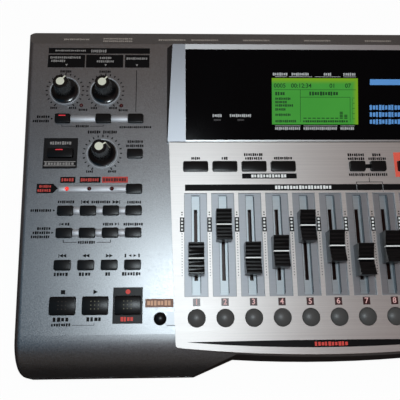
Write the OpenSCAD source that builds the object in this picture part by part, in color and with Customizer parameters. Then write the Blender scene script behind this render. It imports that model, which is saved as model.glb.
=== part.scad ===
// Desktop digital multitrack recorder: sloping deck, mixer panel with ten faders, raised display.
// Sizes in millimetres. Frame: +X right, +Y to the rear, +Z up, origin under the middle of the case.
// Panel frame: u = X, v up the slope from the front end of the fader slots, w out of the mixer panel.

/* [Case] */
// Width of the case across the rear corners
case_w = 445; // [436:1:465]
// Width of the case across the wing fronts
front_w = 433; // [428:1:445]
// Depth of the case from the wing fronts to the rear wall
case_d = 262; // [258:1:280]
// Slope of the deck, degrees
slope = 8; // [6:0.5:10]
// Height of the mixer panel above the table at the front end of the fader slots
slot_z = 57.7; // [56:0.1:66]
// Distance from the wing fronts back to the front end of the fader slots
slot_y = 61.5; // [59:0.5:66]
// Wall thickness of the case
wall = 2.5; // [2:0.1:3]
// Radius of the curve from the deck down to the wing fronts
front_r = 30; // [27:1:34]
// Radius of the long deck edges and upright corners
edge_r = 5; // [3.5:0.5:7]
// Length of the bevel along the rear of the deck
rear_bevel = 13; // [8:1:16]
// Angle of the rear bevel below the deck, degrees
bevel_angle = 20; // [10:1:30]
// Width of the set-back centre front between the wing toes
bay_w = 193; // [186:1:200]
// Width of the centre front where the toe chamfers end
bay_face_w = 131; // [122:1:140]
// Depth of the toe chamfers
bay_chamfer = 12.8; // [11.5:0.1:14]
// Distance of the centre front behind the wing fronts
bay_set = 10.1; // [8.5:0.1:10.3]
// Radius of the bowed centre front
bay_r = 1000; // [800:10:1400]
// Distance of the bay's middle to the right of the case's middle
bay_mid = 4.5; // [0:0.5:6]
// Height of the rubber feet
foot_h = 4; // [3:0.5:6]
// Radius of the rubber feet
foot_r = 9; // [6:0.5:12]
// Thickness of the bottom plate
plate_t = 1.5; // [1.2:0.1:2]

/* [Mixer panel] */
// How far the mixer panel stands above the deck
panel_rise = 3; // [2.6:0.1:4]
// Width of the mixer panel at its front corners
panel_front_w = 208.6; // [206:0.2:212]
// Width of the mixer panel at the display seam
panel_seam_w = 219.4; // [216:0.2:221]
// Distance from the slot ends forward to the middle of the panel's front edge
panel_front_v = 51.1; // [49:0.1:53]
// Radius of the bowed front edge
panel_arc_r = 1000; // [800:10:1400]
// Corner radius at the mixer panel's front
panel_corner = 3; // [2:0.1:4]
// Distance from the slot ends back to the display seam
seam_v = 104.4; // [102:0.1:108]

/* [Display] */
// Tilt of the display face above the mixer panel, degrees
display_tilt = 14; // [10:0.5:16]
// Length of the display face from the seam to its rear edge
display_len = 74.2; // [73:0.1:78]
// Width of the display housing at the deck
display_w = 223; // [221:1:226]
// Draft of the display housing's side walls, degrees
display_draft = 13; // [6:1:16]
// Length of the sloping back of the display housing, measured along the deck
display_back = 9; // [6:0.5:10]
// Width of the display window
window_w = 194; // [180:1:198]
// Length of the display window up the face
window_l = 69; // [60:0.5:70]
// Thickness of the display window
window_t = 1.5; // [1:0.1:1.6]
// Width of the screen
lcd_w = 66.5; // [60:0.5:72]
// Height of the screen
lcd_h = 35.6; // [32:0.2:38]
// Offset of the screen's middle to the right
lcd_u = 2; // [-10:0.5:10]
// Distance from the seam up to the screen's lower edge
lcd_s = 13.1; // [11:0.1:18]

/* [Faders] */
// Spacing of the faders
fader_pitch = 20; // [19.5:0.1:20.5]
// Travel of a fader
fader_travel = 45; // [40:1:46]
// Length of a fader slot
slot_l = 52.4; // [52:0.1:54]
// Width of a fader slot
slot_w = 2.6; // [2.4:0.1:3]
// Width of the shallow channel round a slot
channel_w = 16.3; // [14:0.1:17.5]
// Depth of the shallow channel
channel_d = 1.5; // [1.2:0.1:1.8]
// Width of the deep trough round a slot
trough_w = 6; // [5:0.1:7]
// Depth of the deep trough
trough_d = 5; // [4.6:0.1:6]
// Length of a fader cap
cap_l = 22.5; // [21:0.5:24]
// Width of a fader cap
cap_w = 11; // [9:0.5:13]
// Height of a fader cap at its ends
cap_h = 12; // [10:0.5:14]
// Height of a fader cap at its waist
waist_h = 8.6; // [7.5:0.1:9.5]
// Ribs on each half of a fader cap
cap_ribs = 4; // [3:1:5]

/* [Keys and knobs] */
// Width of a small key
key_w = 11.4; // [10:0.1:12]
// Length of a small key
key_l = 7; // [6:0.1:7.6]
// Spacing of the small keys in a row
key_pitch = 16.6; // [16:0.1:17]
// Height of the keys above their panel
key_rise = 2.2; // [1.9:0.1:3]
// Travel of the keys
key_travel = 1.2; // [0.8:0.1:1.4]
// Crown radius across a key top
key_crown = 24; // [16:1:60]
// Corner radius of a key
key_corner = 1; // [0.5:0.1:1.5]
// Width of a transport key
transport_w = 17.8; // [16:0.1:18.4]
// Length of a transport key
transport_l = 12.3; // [11:0.1:13]
// Radius of a round track key
track_r = 6; // [5:0.1:6.4]
// Radius of the take key
take_r = 4.2; // [3.6:0.1:4.4]
// Radius of a knob skirt
skirt_r = 10.3; // [9.6:0.1:10.6]
// Radius of a knob grip at its top
grip_r = 4.6; // [4.2:0.1:5]
// Taper of a knob grip, in radius
grip_taper = 0.6; // [0.3:0.1:1]
// Height of a knob skirt with its flare
skirt_h = 8.4; // [7:0.1:9.5]
// Height of a knob
knob_h = 16.4; // [14:0.1:18]
// Flutes round a knob grip
knob_flutes = 14; // [10:1:18]
// Radius of a pot shaft
shaft_r = 3; // [2.5:0.1:3.2]
// Radius of the value dial
dial_r = 23; // [20:0.5:24]
// Height of the value dial
dial_h = 10; // [7:0.5:13]

/* [Rear connectors] */
// Height of the connector centres above the table
jack_z = 36; // [34:0.5:40]
// Bore radius of a phone jack
jack_r = 3.2; // [3.18:0.01:3.3]
// Depth of a phone jack's bore
jack_depth = 20; // [18:0.5:22]
// Radius of a phone jack's bush
bush_r = 5.2; // [4.8:0.1:5.6]
// Bore radius of a five-pin socket
din_r = 7.1; // [7:0.05:7.3]
// Depth of a five-pin socket
din_depth = 8; // [7:0.5:10]

/* [Clearances] */
// Gap round keys, knobs and faders
gap = 0.35; // [0.3:0.05:0.45]
// Gap between seated pieces
seat = 0.05; // [0.02:0.01:0.1]
// Gap round a shaft or screw in its hole
hole_gap = 0.15; // [0.1:0.05:0.3]

/* [Hidden] */
$fn = 64;
far = 400;

// Panel frame and front curve
y_front = -case_d / 2;
y_rear = case_d / 2;
y_slot = y_front + slot_y;
deck = -panel_rise;
deck_under = deck - wall;
arc_y = y_front + front_r;
arc_w = deck - front_r;
arc_v = (arc_y - y_slot + arc_w * sin(slope)) / cos(slope);
arc_z = slot_z + arc_v * sin(slope) + arc_w * cos(slope);
arc_over = 3;
arc_under = 0.4;
rear_v = (y_rear - y_slot + deck * sin(slope)) / cos(slope);

// Heights below the deck
travel_gap = 0.3;
flange_t = 1.2;
flange_rim = 0.8;
stem_w = 3;
stem_low = deck_under - 4;
switch_top = stem_low - key_travel - travel_gap;
switch_h = 2.5;
tact_w = 6;
board_top = switch_top - switch_h;
board_t = 1.6;

// Openings in the deck
mixer_open_w = panel_front_w - 7;
mixer_open_v0 = -35;
mixer_open_v1 = seam_v - 6;
display_open_v0 = seam_v + 6;
display_open_v1 = seam_v + display_len * cos(display_tilt) - 6;
window_low = (display_len - window_l) / 4;

// Key places on the deck, as [u, v]
col_right = -135.5;
cols = [for (i = [3:-1:0]) col_right - i * key_pitch];
select_v = 124.4;
select_u = [-191.2, -160.2, col_right];
marker_v = 51.7;
punch_v = 35.2;
locate_v = 11.8;
tuner_v = 95.8;
rec_mode_v = 68.2;
effects_at = [-191.4, 96.3];
effects_w = 18.9;
transport_v = -16.7;
transport_pitch = 22.75;
transport_u = [for (i = [2:-1:0]) -138.2 - i * transport_pitch];
take_at = [-115.5, -26.1];
edit_rows = [select_v, 100];
cursor_at = [160, 66];
cursor_du = 16;
cursor_dv = 12;
dial_at = [160, 12];

// Key places on the mixer panel
fx_pitch = 21.93;
fx_u = [for (i = [0:3]) -89.7 + i * fx_pitch];
fx_w = 18.2;
fx_l = 7.5;
fx_v = 84.5;
tool_u = [32.3, 48.1, 72.3];
track_v = -26.15;

// Knob places and pointer angles clockwise from straight up
sens_at = [[-190.8, 147.7], [-159.6, 147.4]];
sens_turn = [40, 45];
level_at = [-160, 95.9];
level_turn = 52;

// Faders: place of each cap's middle up the slot at rest
fader_n = 10;
fader_rest = [14.4, 38.5, 14.5, 19.1, 37.5, 22.7, 13.1, 22, 24, 30];
fader_low = (slot_l - fader_travel) / 2;
blade_w = slot_w - 2 * 0.4;
blade_l = slot_l - fader_travel - 2 * 0.7;
cap_lift = 0.6;
trough_wall = 1.5;
trough_under = -trough_d - trough_wall;
track_h = 9;
track_end = 7;

// Bars between keys, indicator lamps
bar_h = 1.5;
bar_l = key_l - 1.2;
lamp_r = 1.4;
peak_at = [[-177.6, 135.6], [-146.8, 135.4]];
mode_u = [-184.9, -168.4, -151.8];

// Bottom plate, screws and boards
plate_top = foot_h + 0.5 + plate_t;
screw_r = 1.5;
screw_head_r = 3;
screw_head_t = 1.6;
screw_l = 12;
boss_r = 4;
boss_gap = 0.6;
boss_x = front_w / 2 - 16.5;
boss_y = [y_rear - 23, y_front + 59];
boss_at = concat([for (y = boss_y, s = [-1, 1]) [s * boss_x, y]], [[0, y_rear - 17], [0, y_front + 19]]);
foot_in = [[front_w / 2 - 36.5, y_rear - 36], [front_w / 2 - 46.5, y_front + 26]];
foot_at = [for (at = foot_in, s = [-1, 1]) [s * at[0], at[1]]];
board_post_r = 2;
side_in = 111;
side_out = front_w / 2 - 9.5;
side_v = [-35, 161];
post_out = side_out - 4;
post_in = side_in + 11;
deck_posts = [[post_out, 62], [post_out, -20], [post_in, 108], [post_in, 20]];
mixer_posts = [[80, track_v], [20, track_v], [60, fx_v - 9.5], [60, fx_v + 9.5]];
main_at = [-190, y_front + 76];
main_size = [225, 148, 1.6];
main_inset = 12;
standoff_h = 8;
plate_post_r = 3;
disk_room = 17;
disk_at = [main_at[0] + main_size[0] + disk_room, y_front + 79];
disk_size = [101.6, 146, 25.4];
disk_inset = 12;
disk_lift = 3;

// Rear connectors
rear_open = [392, 40];
rear_plate_t = 2;
rear_rim = 4;
jack_u = [-176, -148, -120, -92, -50, -22, 22, 50];
din_u = [84, 112];
dc_u = 146;
dc_r = 2.8;
dc_body = [14, 12, 11];
switch_u = 176;
rocker_size = [19, 9, 12];
rocker_tilt = 8;
pivot_r = 1.2;
pivot_l = 1.5;
pivot_in = 5;
din_rim = 1;
socket_out = 0.5;
nut_t = 2.1;
nut_rim = 1.8;
plate_face = y_rear - wall;

// Puts children into the panel frame
module on_panel() {
    translate([0, y_slot, slot_z]) rotate([slope, 0, 0]) children();
}

// Puts children on the tilted display face, with v from the seam up the face
module on_display() {
    on_panel() translate([0, seam_v, 0]) rotate([display_tilt, 0, 0]) children();
}

// A block centred on u and v, from height w0 to w1
module block(at, size, w0, w1) {
    translate([at[0] - size[0] / 2, at[1] - size[1] / 2, w0]) cube([size[0], size[1], w1 - w0]);
}

// An upright rod from height w0 to w1
module rod(at, r, w0, w1) {
    translate([at[0], at[1], w0]) cylinder(r = r, h = w1 - w0);
}

// Plan of the case inset by t, with rounded upright corners
module case_plan(t) {
    hw = front_w / 2 - t;
    rw = case_w / 2 - t;
    y0 = y_front + t;
    y1 = y_rear - t;
    r = max(edge_r - t, 0.5);
    intersection() {
        polygon([[-hw, y0], [hw, y0], [hw, arc_y], [rw, y1], [-rw, y1], [-hw, arc_y]]);
        union() {
            translate([-far, y0 + r]) square([2 * far, y1 - y0 - 2 * r]);
            translate([-hw + r, y0]) square([2 * (hw - r), y1 - y0]);
            for (s = [-1, 1]) translate([s * (hw - r), y0 + r]) circle(r);
            for (s = [-1, 1]) translate([s * (rw - r), y1 - r]) circle(r);
            translate([-rw + r, y1 - r]) square([2 * (rw - r), r]);
        }
    }
}

// Space set back between the wings, moved inwards by t
module front_bay(t) {
    run = bay_chamfer / ((bay_w - bay_face_w) / 2);
    translate([bay_mid, y_front + t, -1]) linear_extrude(height = far) difference() {
        polygon([
            [-bay_w / 2 - 10 / run, -10], [bay_w / 2 + 10 / run, -10],
            [bay_face_w / 2 - 8, bay_chamfer + 8 * run], [-bay_face_w / 2 + 8, bay_chamfer + 8 * run]
        ]);
        translate([0, bay_set + bay_r]) circle(bay_r, $fn = 128);
    }
}

// Everything under a deck edge that is rounded along the tapered side s
module edge_round(s, t) {
    hw = front_w / 2 - t;
    rw = case_w / 2 - t;
    r = max(edge_r - t, 0.5);
    taper = atan((rw - hw) / (rear_v - arc_v));
    top = deck - t;
    mirror([s < 0 ? 1 : 0, 0, 0]) translate([hw, arc_v, 0]) rotate([0, 0, -taper])
        translate([0, far, 0]) rotate([90, 0, 0]) linear_extrude(height = 2 * far) union() {
            translate([-r - 2 * far, top - far]) square([2 * far, far]);
            translate([-2 * far, top - r - far]) square([4 * far, far]);
            translate([-r, top - r]) circle(r);
        }
}

// Everything under the rear bevel, inset by t
module under_bevel(t) {
    translate([0, rear_v - rear_bevel, deck - t / cos(bevel_angle)]) rotate([-bevel_angle, 0, 0])
        translate([-far, -2 * far, -far]) cube([2 * far, 4 * far, far]);
}

// Section of the wings across the case, as radius from the front curve's axis
module wing_section(t) {
    hw = front_w / 2 - t;
    r = max(edge_r - t, 0.5);
    translate([0, -hw]) square([front_r - t - r, 2 * hw]);
    translate([0, -hw + r]) square([front_r - t, 2 * (hw - r)]);
    for (s = [-1, 1]) translate([front_r - t - r, s * (hw - r)]) circle(r);
}

// Closed form of the case inset by t, from height z0 up
module case_form(t, z0) {
    difference() {
        union() {
            // Deck behind the front curve, with its rear bevel and rounded sides
            intersection() {
                translate([0, 0, z0]) linear_extrude(height = far) case_plan(t);
                on_panel() translate([-far, arc_v, deck - t - far]) cube([2 * far, far, far]);
                on_panel() under_bevel(t);
                on_panel() edge_round(1, t);
                on_panel() edge_round(-1, t);
            }
            // Curve from the deck down to the wing fronts, a seat gap inside the faces that it runs into
            translate([0, arc_y, arc_z]) rotate([0, -90, 0]) rotate([0, 0, -90 - arc_over])
                rotate_extrude(angle = 90 - slope + 2 * arc_over, $fn = 128) wing_section(t + seat);
            // Upright lower part, which ends a little under the curve's axis
            translate([0, 0, z0]) linear_extrude(height = arc_z - arc_under - z0) case_plan(t);
        }
        front_bay(t);
    }
}

// Hollow of the case inside its walls, with plain corners
module case_cavity() {
    hw = front_w / 2 - wall;
    rw = case_w / 2 - wall;
    y1 = y_rear - wall;
    difference() {
        union() {
            intersection() {
                translate([0, 0, foot_h - 1]) linear_extrude(height = far)
                    polygon([[-hw, arc_y], [hw, arc_y], [rw, y1], [-rw, y1]]);
                on_panel() translate([-far, arc_v - front_r, deck_under - far]) cube([2 * far, 2 * far, far]);
                on_panel() under_bevel(wall);
            }
            translate([-hw, arc_y, arc_z]) rotate([0, 90, 0])
                cylinder(r = front_r - wall, h = 2 * hw, $fn = 128);
            translate([-hw, y_front + wall, foot_h - 1]) cube([2 * hw, front_r, arc_z - foot_h + 1]);
        }
        front_bay(wall);
    }
}

// Plan of the mixer panel with its bowed front edge and the tongue beside the take key
module panel_plan() {
    grow = (panel_seam_w - panel_front_w) / 2 / (seam_v + panel_front_v);
    low = panel_front_v + 10;
    f = panel_front_w / 2 - grow * 10;
    r = panel_seam_w / 2;
    sag = panel_arc_r - sqrt(panel_arc_r * panel_arc_r - panel_front_w * panel_front_w / 4);
    // The corner circles reach a little past both edges, which trim them
    corner_over = 0.4;
    corner_u = panel_front_w / 2 + grow * sag + corner_over - panel_corner;
    corner_v = sag - panel_front_v - corner_over + panel_corner;
    intersection() {
        polygon([[-f, -low], [f, -low], [r, seam_v - seat], [-r, seam_v - seat]]);
        translate([0, panel_arc_r - panel_front_v]) circle(panel_arc_r, $fn = 256);
        union() {
            translate([-far, corner_v]) square([2 * far, far]);
            translate([-corner_u, -far]) square([2 * corner_u, 2 * far]);
            for (s = [-1, 1]) translate([s * corner_u, corner_v]) circle(panel_corner);
        }
    }
    translate([take_at[0] + take_r + gap, take_at[1] - take_r - gap])
        square([-take_at[0] - take_r - panel_front_w / 2 + 5, 2 * (take_r + gap)]);
}

// Upright form of a key or of its hole, with rounded corners
module key_form(at, size, r, w0, w1) {
    flat = [size[0] / 2 - r, size[1] / 2 - r];
    translate([at[0], at[1], w0]) linear_extrude(height = w1 - w0) union() {
        translate([-flat[0], -flat[1] - r]) square([2 * flat[0], 2 * (flat[1] + r)]);
        translate([-flat[0] - r, -flat[1]]) square([2 * (flat[0] + r), 2 * flat[1]]);
        for (i = [-1, 1], j = [-1, 1]) translate([i * flat[0], j * flat[1]]) circle(r);
    }
}

// One key with its crowned cap, hidden flange and stem; top is its panel's face, under the underside
module key(at, size, top, under) {
    flange_top = under - travel_gap;
    rim = [2 * flange_rim, 2 * flange_rim];
    intersection() {
        key_form(at, size, key_corner, flange_top - flange_t, top + key_rise);
        translate([at[0] - size[0], at[1], top + key_rise - key_crown]) rotate([0, 90, 0])
            cylinder(r = key_crown, h = 2 * size[0], $fn = 128);
    }
    block(at, size + rim, flange_top - flange_t, flange_top);
    block(at, [stem_w, stem_w], stem_low, flange_top);
}

// A row of keys on one hidden carrier strip
module key_row(us, v, size, top, under) {
    first = us[0];
    last = us[len(us) - 1];
    flange_top = under - travel_gap;
    for (u = us) key([u, v], size, top, under);
    block([(first + last) / 2, v], [last - first, stem_w], flange_top - flange_t, flange_top);
}

// A round key with a domed top
module round_key(at, r, top, under) {
    dome = r * 0.35;
    cap_r = (r * r + dome * dome) / (2 * dome);
    translate([at[0], at[1], 0]) rotate_extrude() union() {
        intersection() {
            translate([0, under - travel_gap]) square([r, top - under + travel_gap + key_rise + dome]);
            translate([0, top + key_rise - cap_r]) circle(cap_r, $fn = 128);
        }
        translate([0, under - travel_gap - flange_t]) square([r + flange_rim, flange_t]);
        translate([0, stem_low]) square([stem_w / 2, under - travel_gap - stem_low]);
    }
}

// Hole for a key in a panel
module key_hole(at, size, top, under) {
    key_form(at, [size[0] + 2 * gap, size[1] + 2 * gap], key_corner + gap, under - 1, top + 1);
}

// Hole for a round key in a panel
module round_hole(at, r, top, under) {
    rod(at, r + gap, under - 1, top + 1);
}

// Holes through the deck for its keys, knob shafts and lamps
module deck_holes() {
    small = [key_w, key_l];
    for (u = select_u) key_hole([u, select_v], small, deck, deck_under);
    for (u = cols, v = [marker_v, punch_v, locate_v]) key_hole([u, v], small, deck, deck_under);
    for (v = [tuner_v, rec_mode_v]) key_hole([col_right, v], small, deck, deck_under);
    key_hole(effects_at, [effects_w, key_l], deck, deck_under);
    for (u = transport_u) key_hole([u, transport_v], [transport_w, transport_l], deck, deck_under);
    round_hole(take_at, take_r, deck, deck_under);
    for (u = cols, v = edit_rows) key_hole([-u, v], small, deck, deck_under);
    for (s = [-1, 1]) key_hole([cursor_at[0] + s * cursor_du, cursor_at[1]], small, deck, deck_under);
    for (s = [-1, 1]) key_hole([cursor_at[0], cursor_at[1] + s * cursor_dv], small, deck, deck_under);
    for (at = concat(sens_at, [level_at, dial_at])) rod(at, shaft_r + gap, deck_under - 1, deck + 1);
    for (at = concat(peak_at, [for (u = mode_u) [u, rec_mode_v]])) {
        rod(at, lamp_r + hole_gap, deck_under - 1, deck + 1);
    }
}

// Upper half of the case: shell, screw bosses and board posts
module upper_case() {
    color([0.40, 0.40, 0.42]) difference() {
        union() {
            difference() {
                case_form(0, foot_h);
                case_cavity();
            }
            intersection() {
                for (at = boss_at) rod(at, boss_r, plate_top + seat, far);
                case_form(wall / 2, foot_h);
            }
            on_panel() for (at = deck_posts, s = [-1, 1]) {
                rod([s * at[0], at[1]], board_post_r, board_top + seat, deck_under + wall / 2);
            }
        }
        on_panel() {
            for (v = [[mixer_open_v0, mixer_open_v1], [display_open_v0, display_open_v1]]) {
                block([0, (v[0] + v[1]) / 2], [mixer_open_w, v[1] - v[0]], deck - 3 * wall, 1);
            }
            deck_holes();
        }
        translate([-rear_open[0] / 2, y_rear - 2 * wall, jack_z - rear_open[1] / 2])
            cube([rear_open[0], 3 * wall, rear_open[1]]);
        for (at = boss_at) rod(at, screw_r + hole_gap, foot_h, plate_top + screw_l);
    }
}

// Post on the bottom plate under one corner of a board or drive
module plate_post(at, size, inset, sx, sy, h) {
    x = at[0] + size[0] / 2 + sx * (size[0] / 2 - inset);
    y = at[1] + size[1] / 2 + sy * (size[1] / 2 - inset);
    rod([x, y], plate_post_r, plate_top - plate_t / 2, plate_top + h);
}

// Flat bottom plate with standoffs for the main board and the disk
module bottom_plate() {
    rim = wall + gap;
    color([0.30, 0.30, 0.31]) difference() {
        union() {
            difference() {
                translate([0, 0, plate_top - plate_t]) linear_extrude(height = plate_t) case_plan(rim);
                front_bay(rim);
            }
            for (sx = [-1, 1], sy = [-1, 1]) {
                plate_post(main_at, main_size, main_inset, sx, sy, standoff_h);
                plate_post(disk_at, disk_size, disk_inset, sx, sy, disk_lift);
            }
        }
        for (at = boss_at) rod(at, screw_r + hole_gap, foot_h, plate_top + 1);
    }
}

// Light mixer panel: plate over the deck, skirt over the front curve, fader channels and troughs
module mixer_panel() {
    cap_room = 3.7;
    channel_l = fader_travel + cap_l + 2 * cap_room;
    trough_end = 1;
    trough_l = channel_l - 2 * trough_end;
    mid = slot_l / 2;
    us = [for (i = [0:fader_n - 1]) (i - (fader_n - 1) / 2) * fader_pitch];
    color([0.80, 0.80, 0.82]) difference() {
        union() {
            difference() {
                on_panel() translate([0, 0, -front_r / 2]) linear_extrude(height = front_r / 2)
                    panel_plan();
                case_form(-seat, 0);
            }
            on_panel() for (u = us) {
                block([u, mid], [trough_w + 2 * trough_wall, trough_l + 2 * trough_wall],
                    trough_under, -channel_d);
            }
            on_panel() for (at = mixer_posts, s = [-1, 1]) {
                rod([s * at[0], at[1]], board_post_r, board_top + seat, deck + wall / 2);
            }
        }
        on_panel() {
            for (u = us) {
                block([u, mid], [channel_w, channel_l], -channel_d, 1);
                block([u, mid], [trough_w, trough_l], -trough_d, 1);
                block([u, mid], [slot_w, slot_l], trough_under - 1, 1);
                round_hole([u, track_v], track_r, 0, deck);
            }
            for (u = fx_u) key_hole([u, fx_v], [fx_w, fx_l], 0, deck);
            for (u = [tool_u[0], tool_u[1]]) key_hole([u, fx_v], [key_w, fx_l], 0, deck);
            key_hole([tool_u[2], fx_v], [fx_w, fx_l], 0, deck);
        }
    }
}

// Side profile of the display housing, inset by t, extruded across and cut by its drafted sides
module display_form(t, base) {
    front = seam_v + seat + t;
    rear = seam_v + display_len * cos(display_tilt);
    peak = display_len * sin(display_tilt) - t / cos(display_tilt);
    rise = -t / cos(display_tilt);
    half = display_w / 2 - t;
    top = display_len * sin(display_tilt) + 2;
    lean = (top - deck) * tan(display_draft);
    intersection() {
        translate([-display_w / 2, 0, 0]) rotate([90, 0, 90]) linear_extrude(height = display_w)
            polygon([
                [front, base], [front, (front - seam_v) * tan(display_tilt) + rise],
                [rear - t, peak - t * tan(display_tilt)], [rear + display_back - t, base]
            ]);
        translate([0, far, 0]) rotate([90, 0, 0]) linear_extrude(height = 2 * far) polygon([
            [-half, deck], [half, deck], [half - lean, top], [-half + lean, top]
        ]);
    }
}

// Raised display housing with a pocket for the window
module display_housing() {
    color([0.72, 0.73, 0.76]) difference() {
        on_panel() display_form(0, deck + seat);
        difference() {
            on_panel() display_form(wall, deck - 1);
            on_display() translate([-far, -far, -window_t - wall]) cube([2 * far, 2 * far, far]);
        }
        on_display() {
            block([0, window_low + window_l / 2], [window_w + 2 * seat, window_l + 2 * seat], -window_t, 5);
            block([lcd_u, lcd_s + lcd_h / 2], [lcd_w + 2, lcd_h + 2], -4 * wall, 5);
        }
    }
}

// Black display window with the clear opening over the screen
module display_window() {
    color([0.03, 0.03, 0.03]) on_display() difference() {
        block([0, window_low + window_l / 2], [window_w, window_l], -window_t + seat, -0.1);
        block([lcd_u, lcd_s + lcd_h / 2], [lcd_w, lcd_h], -2 * window_t, 1);
    }
}

// Backlit screen module behind the window
module lcd_module() {
    lcd_t = 2.2;
    color([0.35, 0.65, 0.20]) on_display() union() {
        block([lcd_u, lcd_s + lcd_h / 2], [lcd_w - 2 * seat, lcd_h - 2 * seat], -window_t - lcd_t, -0.8);
        block([lcd_u, lcd_s + lcd_h / 2], [lcd_w + 1.6, lcd_h + 1.6], -window_t - lcd_t, -window_t);
    }
}

// Rod-like bar on the deck from u0 to u1
module crowned_bar(u0, u1, v) {
    crown = (bar_l * bar_l / 4 + bar_h * bar_h) / (2 * bar_h);
    intersection() {
        block([(u0 + u1) / 2, v], [u1 - u0, 2 * bar_l], deck + seat, deck + 2 * bar_h);
        translate([u0 - 1, v, deck + bar_h - crown]) rotate([0, 90, 0])
            cylinder(r = crown, h = u1 - u0 + 2, $fn = 96);
    }
}

// Raised silver bars between keys, the mode bar and the dished rings under the knobs
module panel_bars() {
    bar_end = 6;
    ring_h = 0.9;
    ring_low = 0.2;
    ring_rim = 0.3;
    ring_r = skirt_r + 1.3;
    color([0.66, 0.67, 0.70]) on_panel() {
        for (row = [[select_u, select_v], [cols, marker_v], [cols, punch_v]]) {
            for (i = [1:len(row[0]) - 1]) {
                crowned_bar(row[0][i - 1] + key_w / 2 + gap, row[0][i] - key_w / 2 - gap, row[1]);
            }
        }
        difference() {
            crowned_bar(mode_u[0] - bar_end, col_right - key_w / 2 - gap, rec_mode_v);
            for (u = mode_u) rod([u, rec_mode_v], lamp_r + hole_gap, deck - 1, deck + 2 * bar_h);
        }
        for (at = concat(sens_at, [level_at])) translate([at[0], at[1], deck]) rotate_extrude() polygon([
            [skirt_r + gap, seat], [ring_r, seat], [ring_r, ring_h], [ring_r - ring_rim, ring_h],
            [skirt_r + gap, ring_low]
        ]);
    }
}

// Thin dark plates round the effects key and the record key
module key_plates() {
    plate_h = 0.5;
    effects_plate = [25.5, 24.3];
    rec_plate = [20.8, 25];
    rec_at = [transport_u[2], transport_v];
    color([0.08, 0.08, 0.09]) on_panel() {
        difference() {
            block(effects_at, effects_plate, deck + seat, deck + plate_h);
            key_hole(effects_at, [effects_w, key_l], deck, deck);
        }
        difference() {
            block(rec_at, rec_plate, deck + seat, deck + plate_h);
            key_hole(rec_at, [transport_w, transport_l], deck, deck);
        }
    }
}

// Round lamp from its board up to a domed lens that starts at the height w
module lamp(at, w) {
    translate([at[0], at[1], 0]) rotate_extrude($fn = 32) union() {
        translate([0, board_top + seat]) square([lamp_r, w - board_top - seat]);
        intersection() {
            translate([0, w]) circle(lamp_r);
            translate([0, w]) square(lamp_r);
        }
    }
}

// Indicator lamps standing through the deck
module panel_lamps() {
    color([0.8, 0.1, 0.08]) on_panel() {
        for (at = peak_at) lamp(at, deck);
        for (u = mode_u) lamp([u, rec_mode_v], deck + bar_h - lamp_r / 2);
    }
}

// Switch block on a panel board under a key
module tact(at) {
    block(at, [tact_w, tact_w], board_top - board_t / 2, switch_top);
}

// Panel boards with their switches: one under each side of the deck, two under the mixer panel
module panel_boards() {
    side_at = [(side_in + side_out) / 2, (side_v[0] + side_v[1]) / 2];
    side_size = [side_out - side_in, side_v[1] - side_v[0]];
    mixer_board_l = 23;
    mixer_size = [mixer_open_w - 2, mixer_board_l];
    color([0.10, 0.30, 0.16]) difference() {
        on_panel() for (s = [-1, 1]) {
            block([s * side_at[0], side_at[1]], side_size, board_top - board_t, board_top);
        }
        for (at = boss_at) rod(at, boss_r + boss_gap, 0, far);
    }
    color([0.10, 0.30, 0.16]) on_panel() {
        for (v = [track_v, fx_v]) block([0, v], mixer_size, board_top - board_t, board_top);
        for (u = select_u) tact([u, select_v]);
        for (u = cols, v = [marker_v, punch_v, locate_v]) tact([u, v]);
        for (v = [tuner_v, rec_mode_v]) tact([col_right, v]);
        for (at = [effects_at, take_at]) tact(at);
        for (u = transport_u) tact([u, transport_v]);
        for (u = cols, v = edit_rows) tact([-u, v]);
        for (s = [-1, 1]) tact([cursor_at[0] + s * cursor_du, cursor_at[1]]);
        for (s = [-1, 1]) tact([cursor_at[0], cursor_at[1] + s * cursor_dv]);
        for (i = [0:fader_n - 1]) tact([(i - (fader_n - 1) / 2) * fader_pitch, track_v]);
        for (u = concat(fx_u, tool_u)) tact([u, fx_v]);
    }
}

// Main board on its standoffs, with its larger parts
module main_board() {
    z = plate_top + standoff_h + seat;
    chip = [24, 24, 2.2];
    chip_x = [40, 90, 150];
    chip_y = 70;
    capacitor = [4, 9];
    capacitor_x = [30:22:200];
    capacitor_y = 30;
    color([0.08, 0.28, 0.14]) translate([main_at[0], main_at[1], z]) {
        cube(main_size);
        for (x = chip_x) translate([x, chip_y, 0]) cube(chip + [0, 0, main_size[2]]);
        for (x = capacitor_x) translate([x, capacitor_y, 0])
            cylinder(r = capacitor[0], h = main_size[2] + capacitor[1]);
    }
}

// Metal fader bodies under the troughs
module fader_tracks() {
    color([0.60, 0.60, 0.62]) on_panel() for (i = [0:fader_n - 1]) {
        at = [(i - (fader_n - 1) / 2) * fader_pitch, slot_l / 2];
        size = [trough_w + 2 * trough_wall, slot_l + 2 * track_end];
        low = trough_under - track_h;
        difference() {
            block(at, size, low, trough_under - seat);
            block(at, [slot_w, slot_l], low + trough_wall, trough_under + 1);
        }
    }
}

// Pot and encoder bodies on the panel boards
module rotary_pots() {
    pot_r = 8;
    color([0.45, 0.45, 0.47]) on_panel() {
        for (at = concat(sens_at, [level_at, dial_at])) difference() {
            rod(at, pot_r, board_top + seat, deck_under - 1);
            rod(at, shaft_r + hole_gap, board_top + 1, deck_under);
        }
    }
}

// Hard disk on its posts
module hard_disk() {
    platter_r = 40;
    cover_h = 0.6;
    color([0.70, 0.71, 0.73]) translate([disk_at[0], disk_at[1], plate_top + disk_lift + seat]) {
        cube(disk_size);
        translate([disk_size[0] / 2, disk_size[1] - disk_size[0] / 2, 0])
            cylinder(r = platter_r, h = disk_size[2] + cover_h);
    }
}

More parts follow.
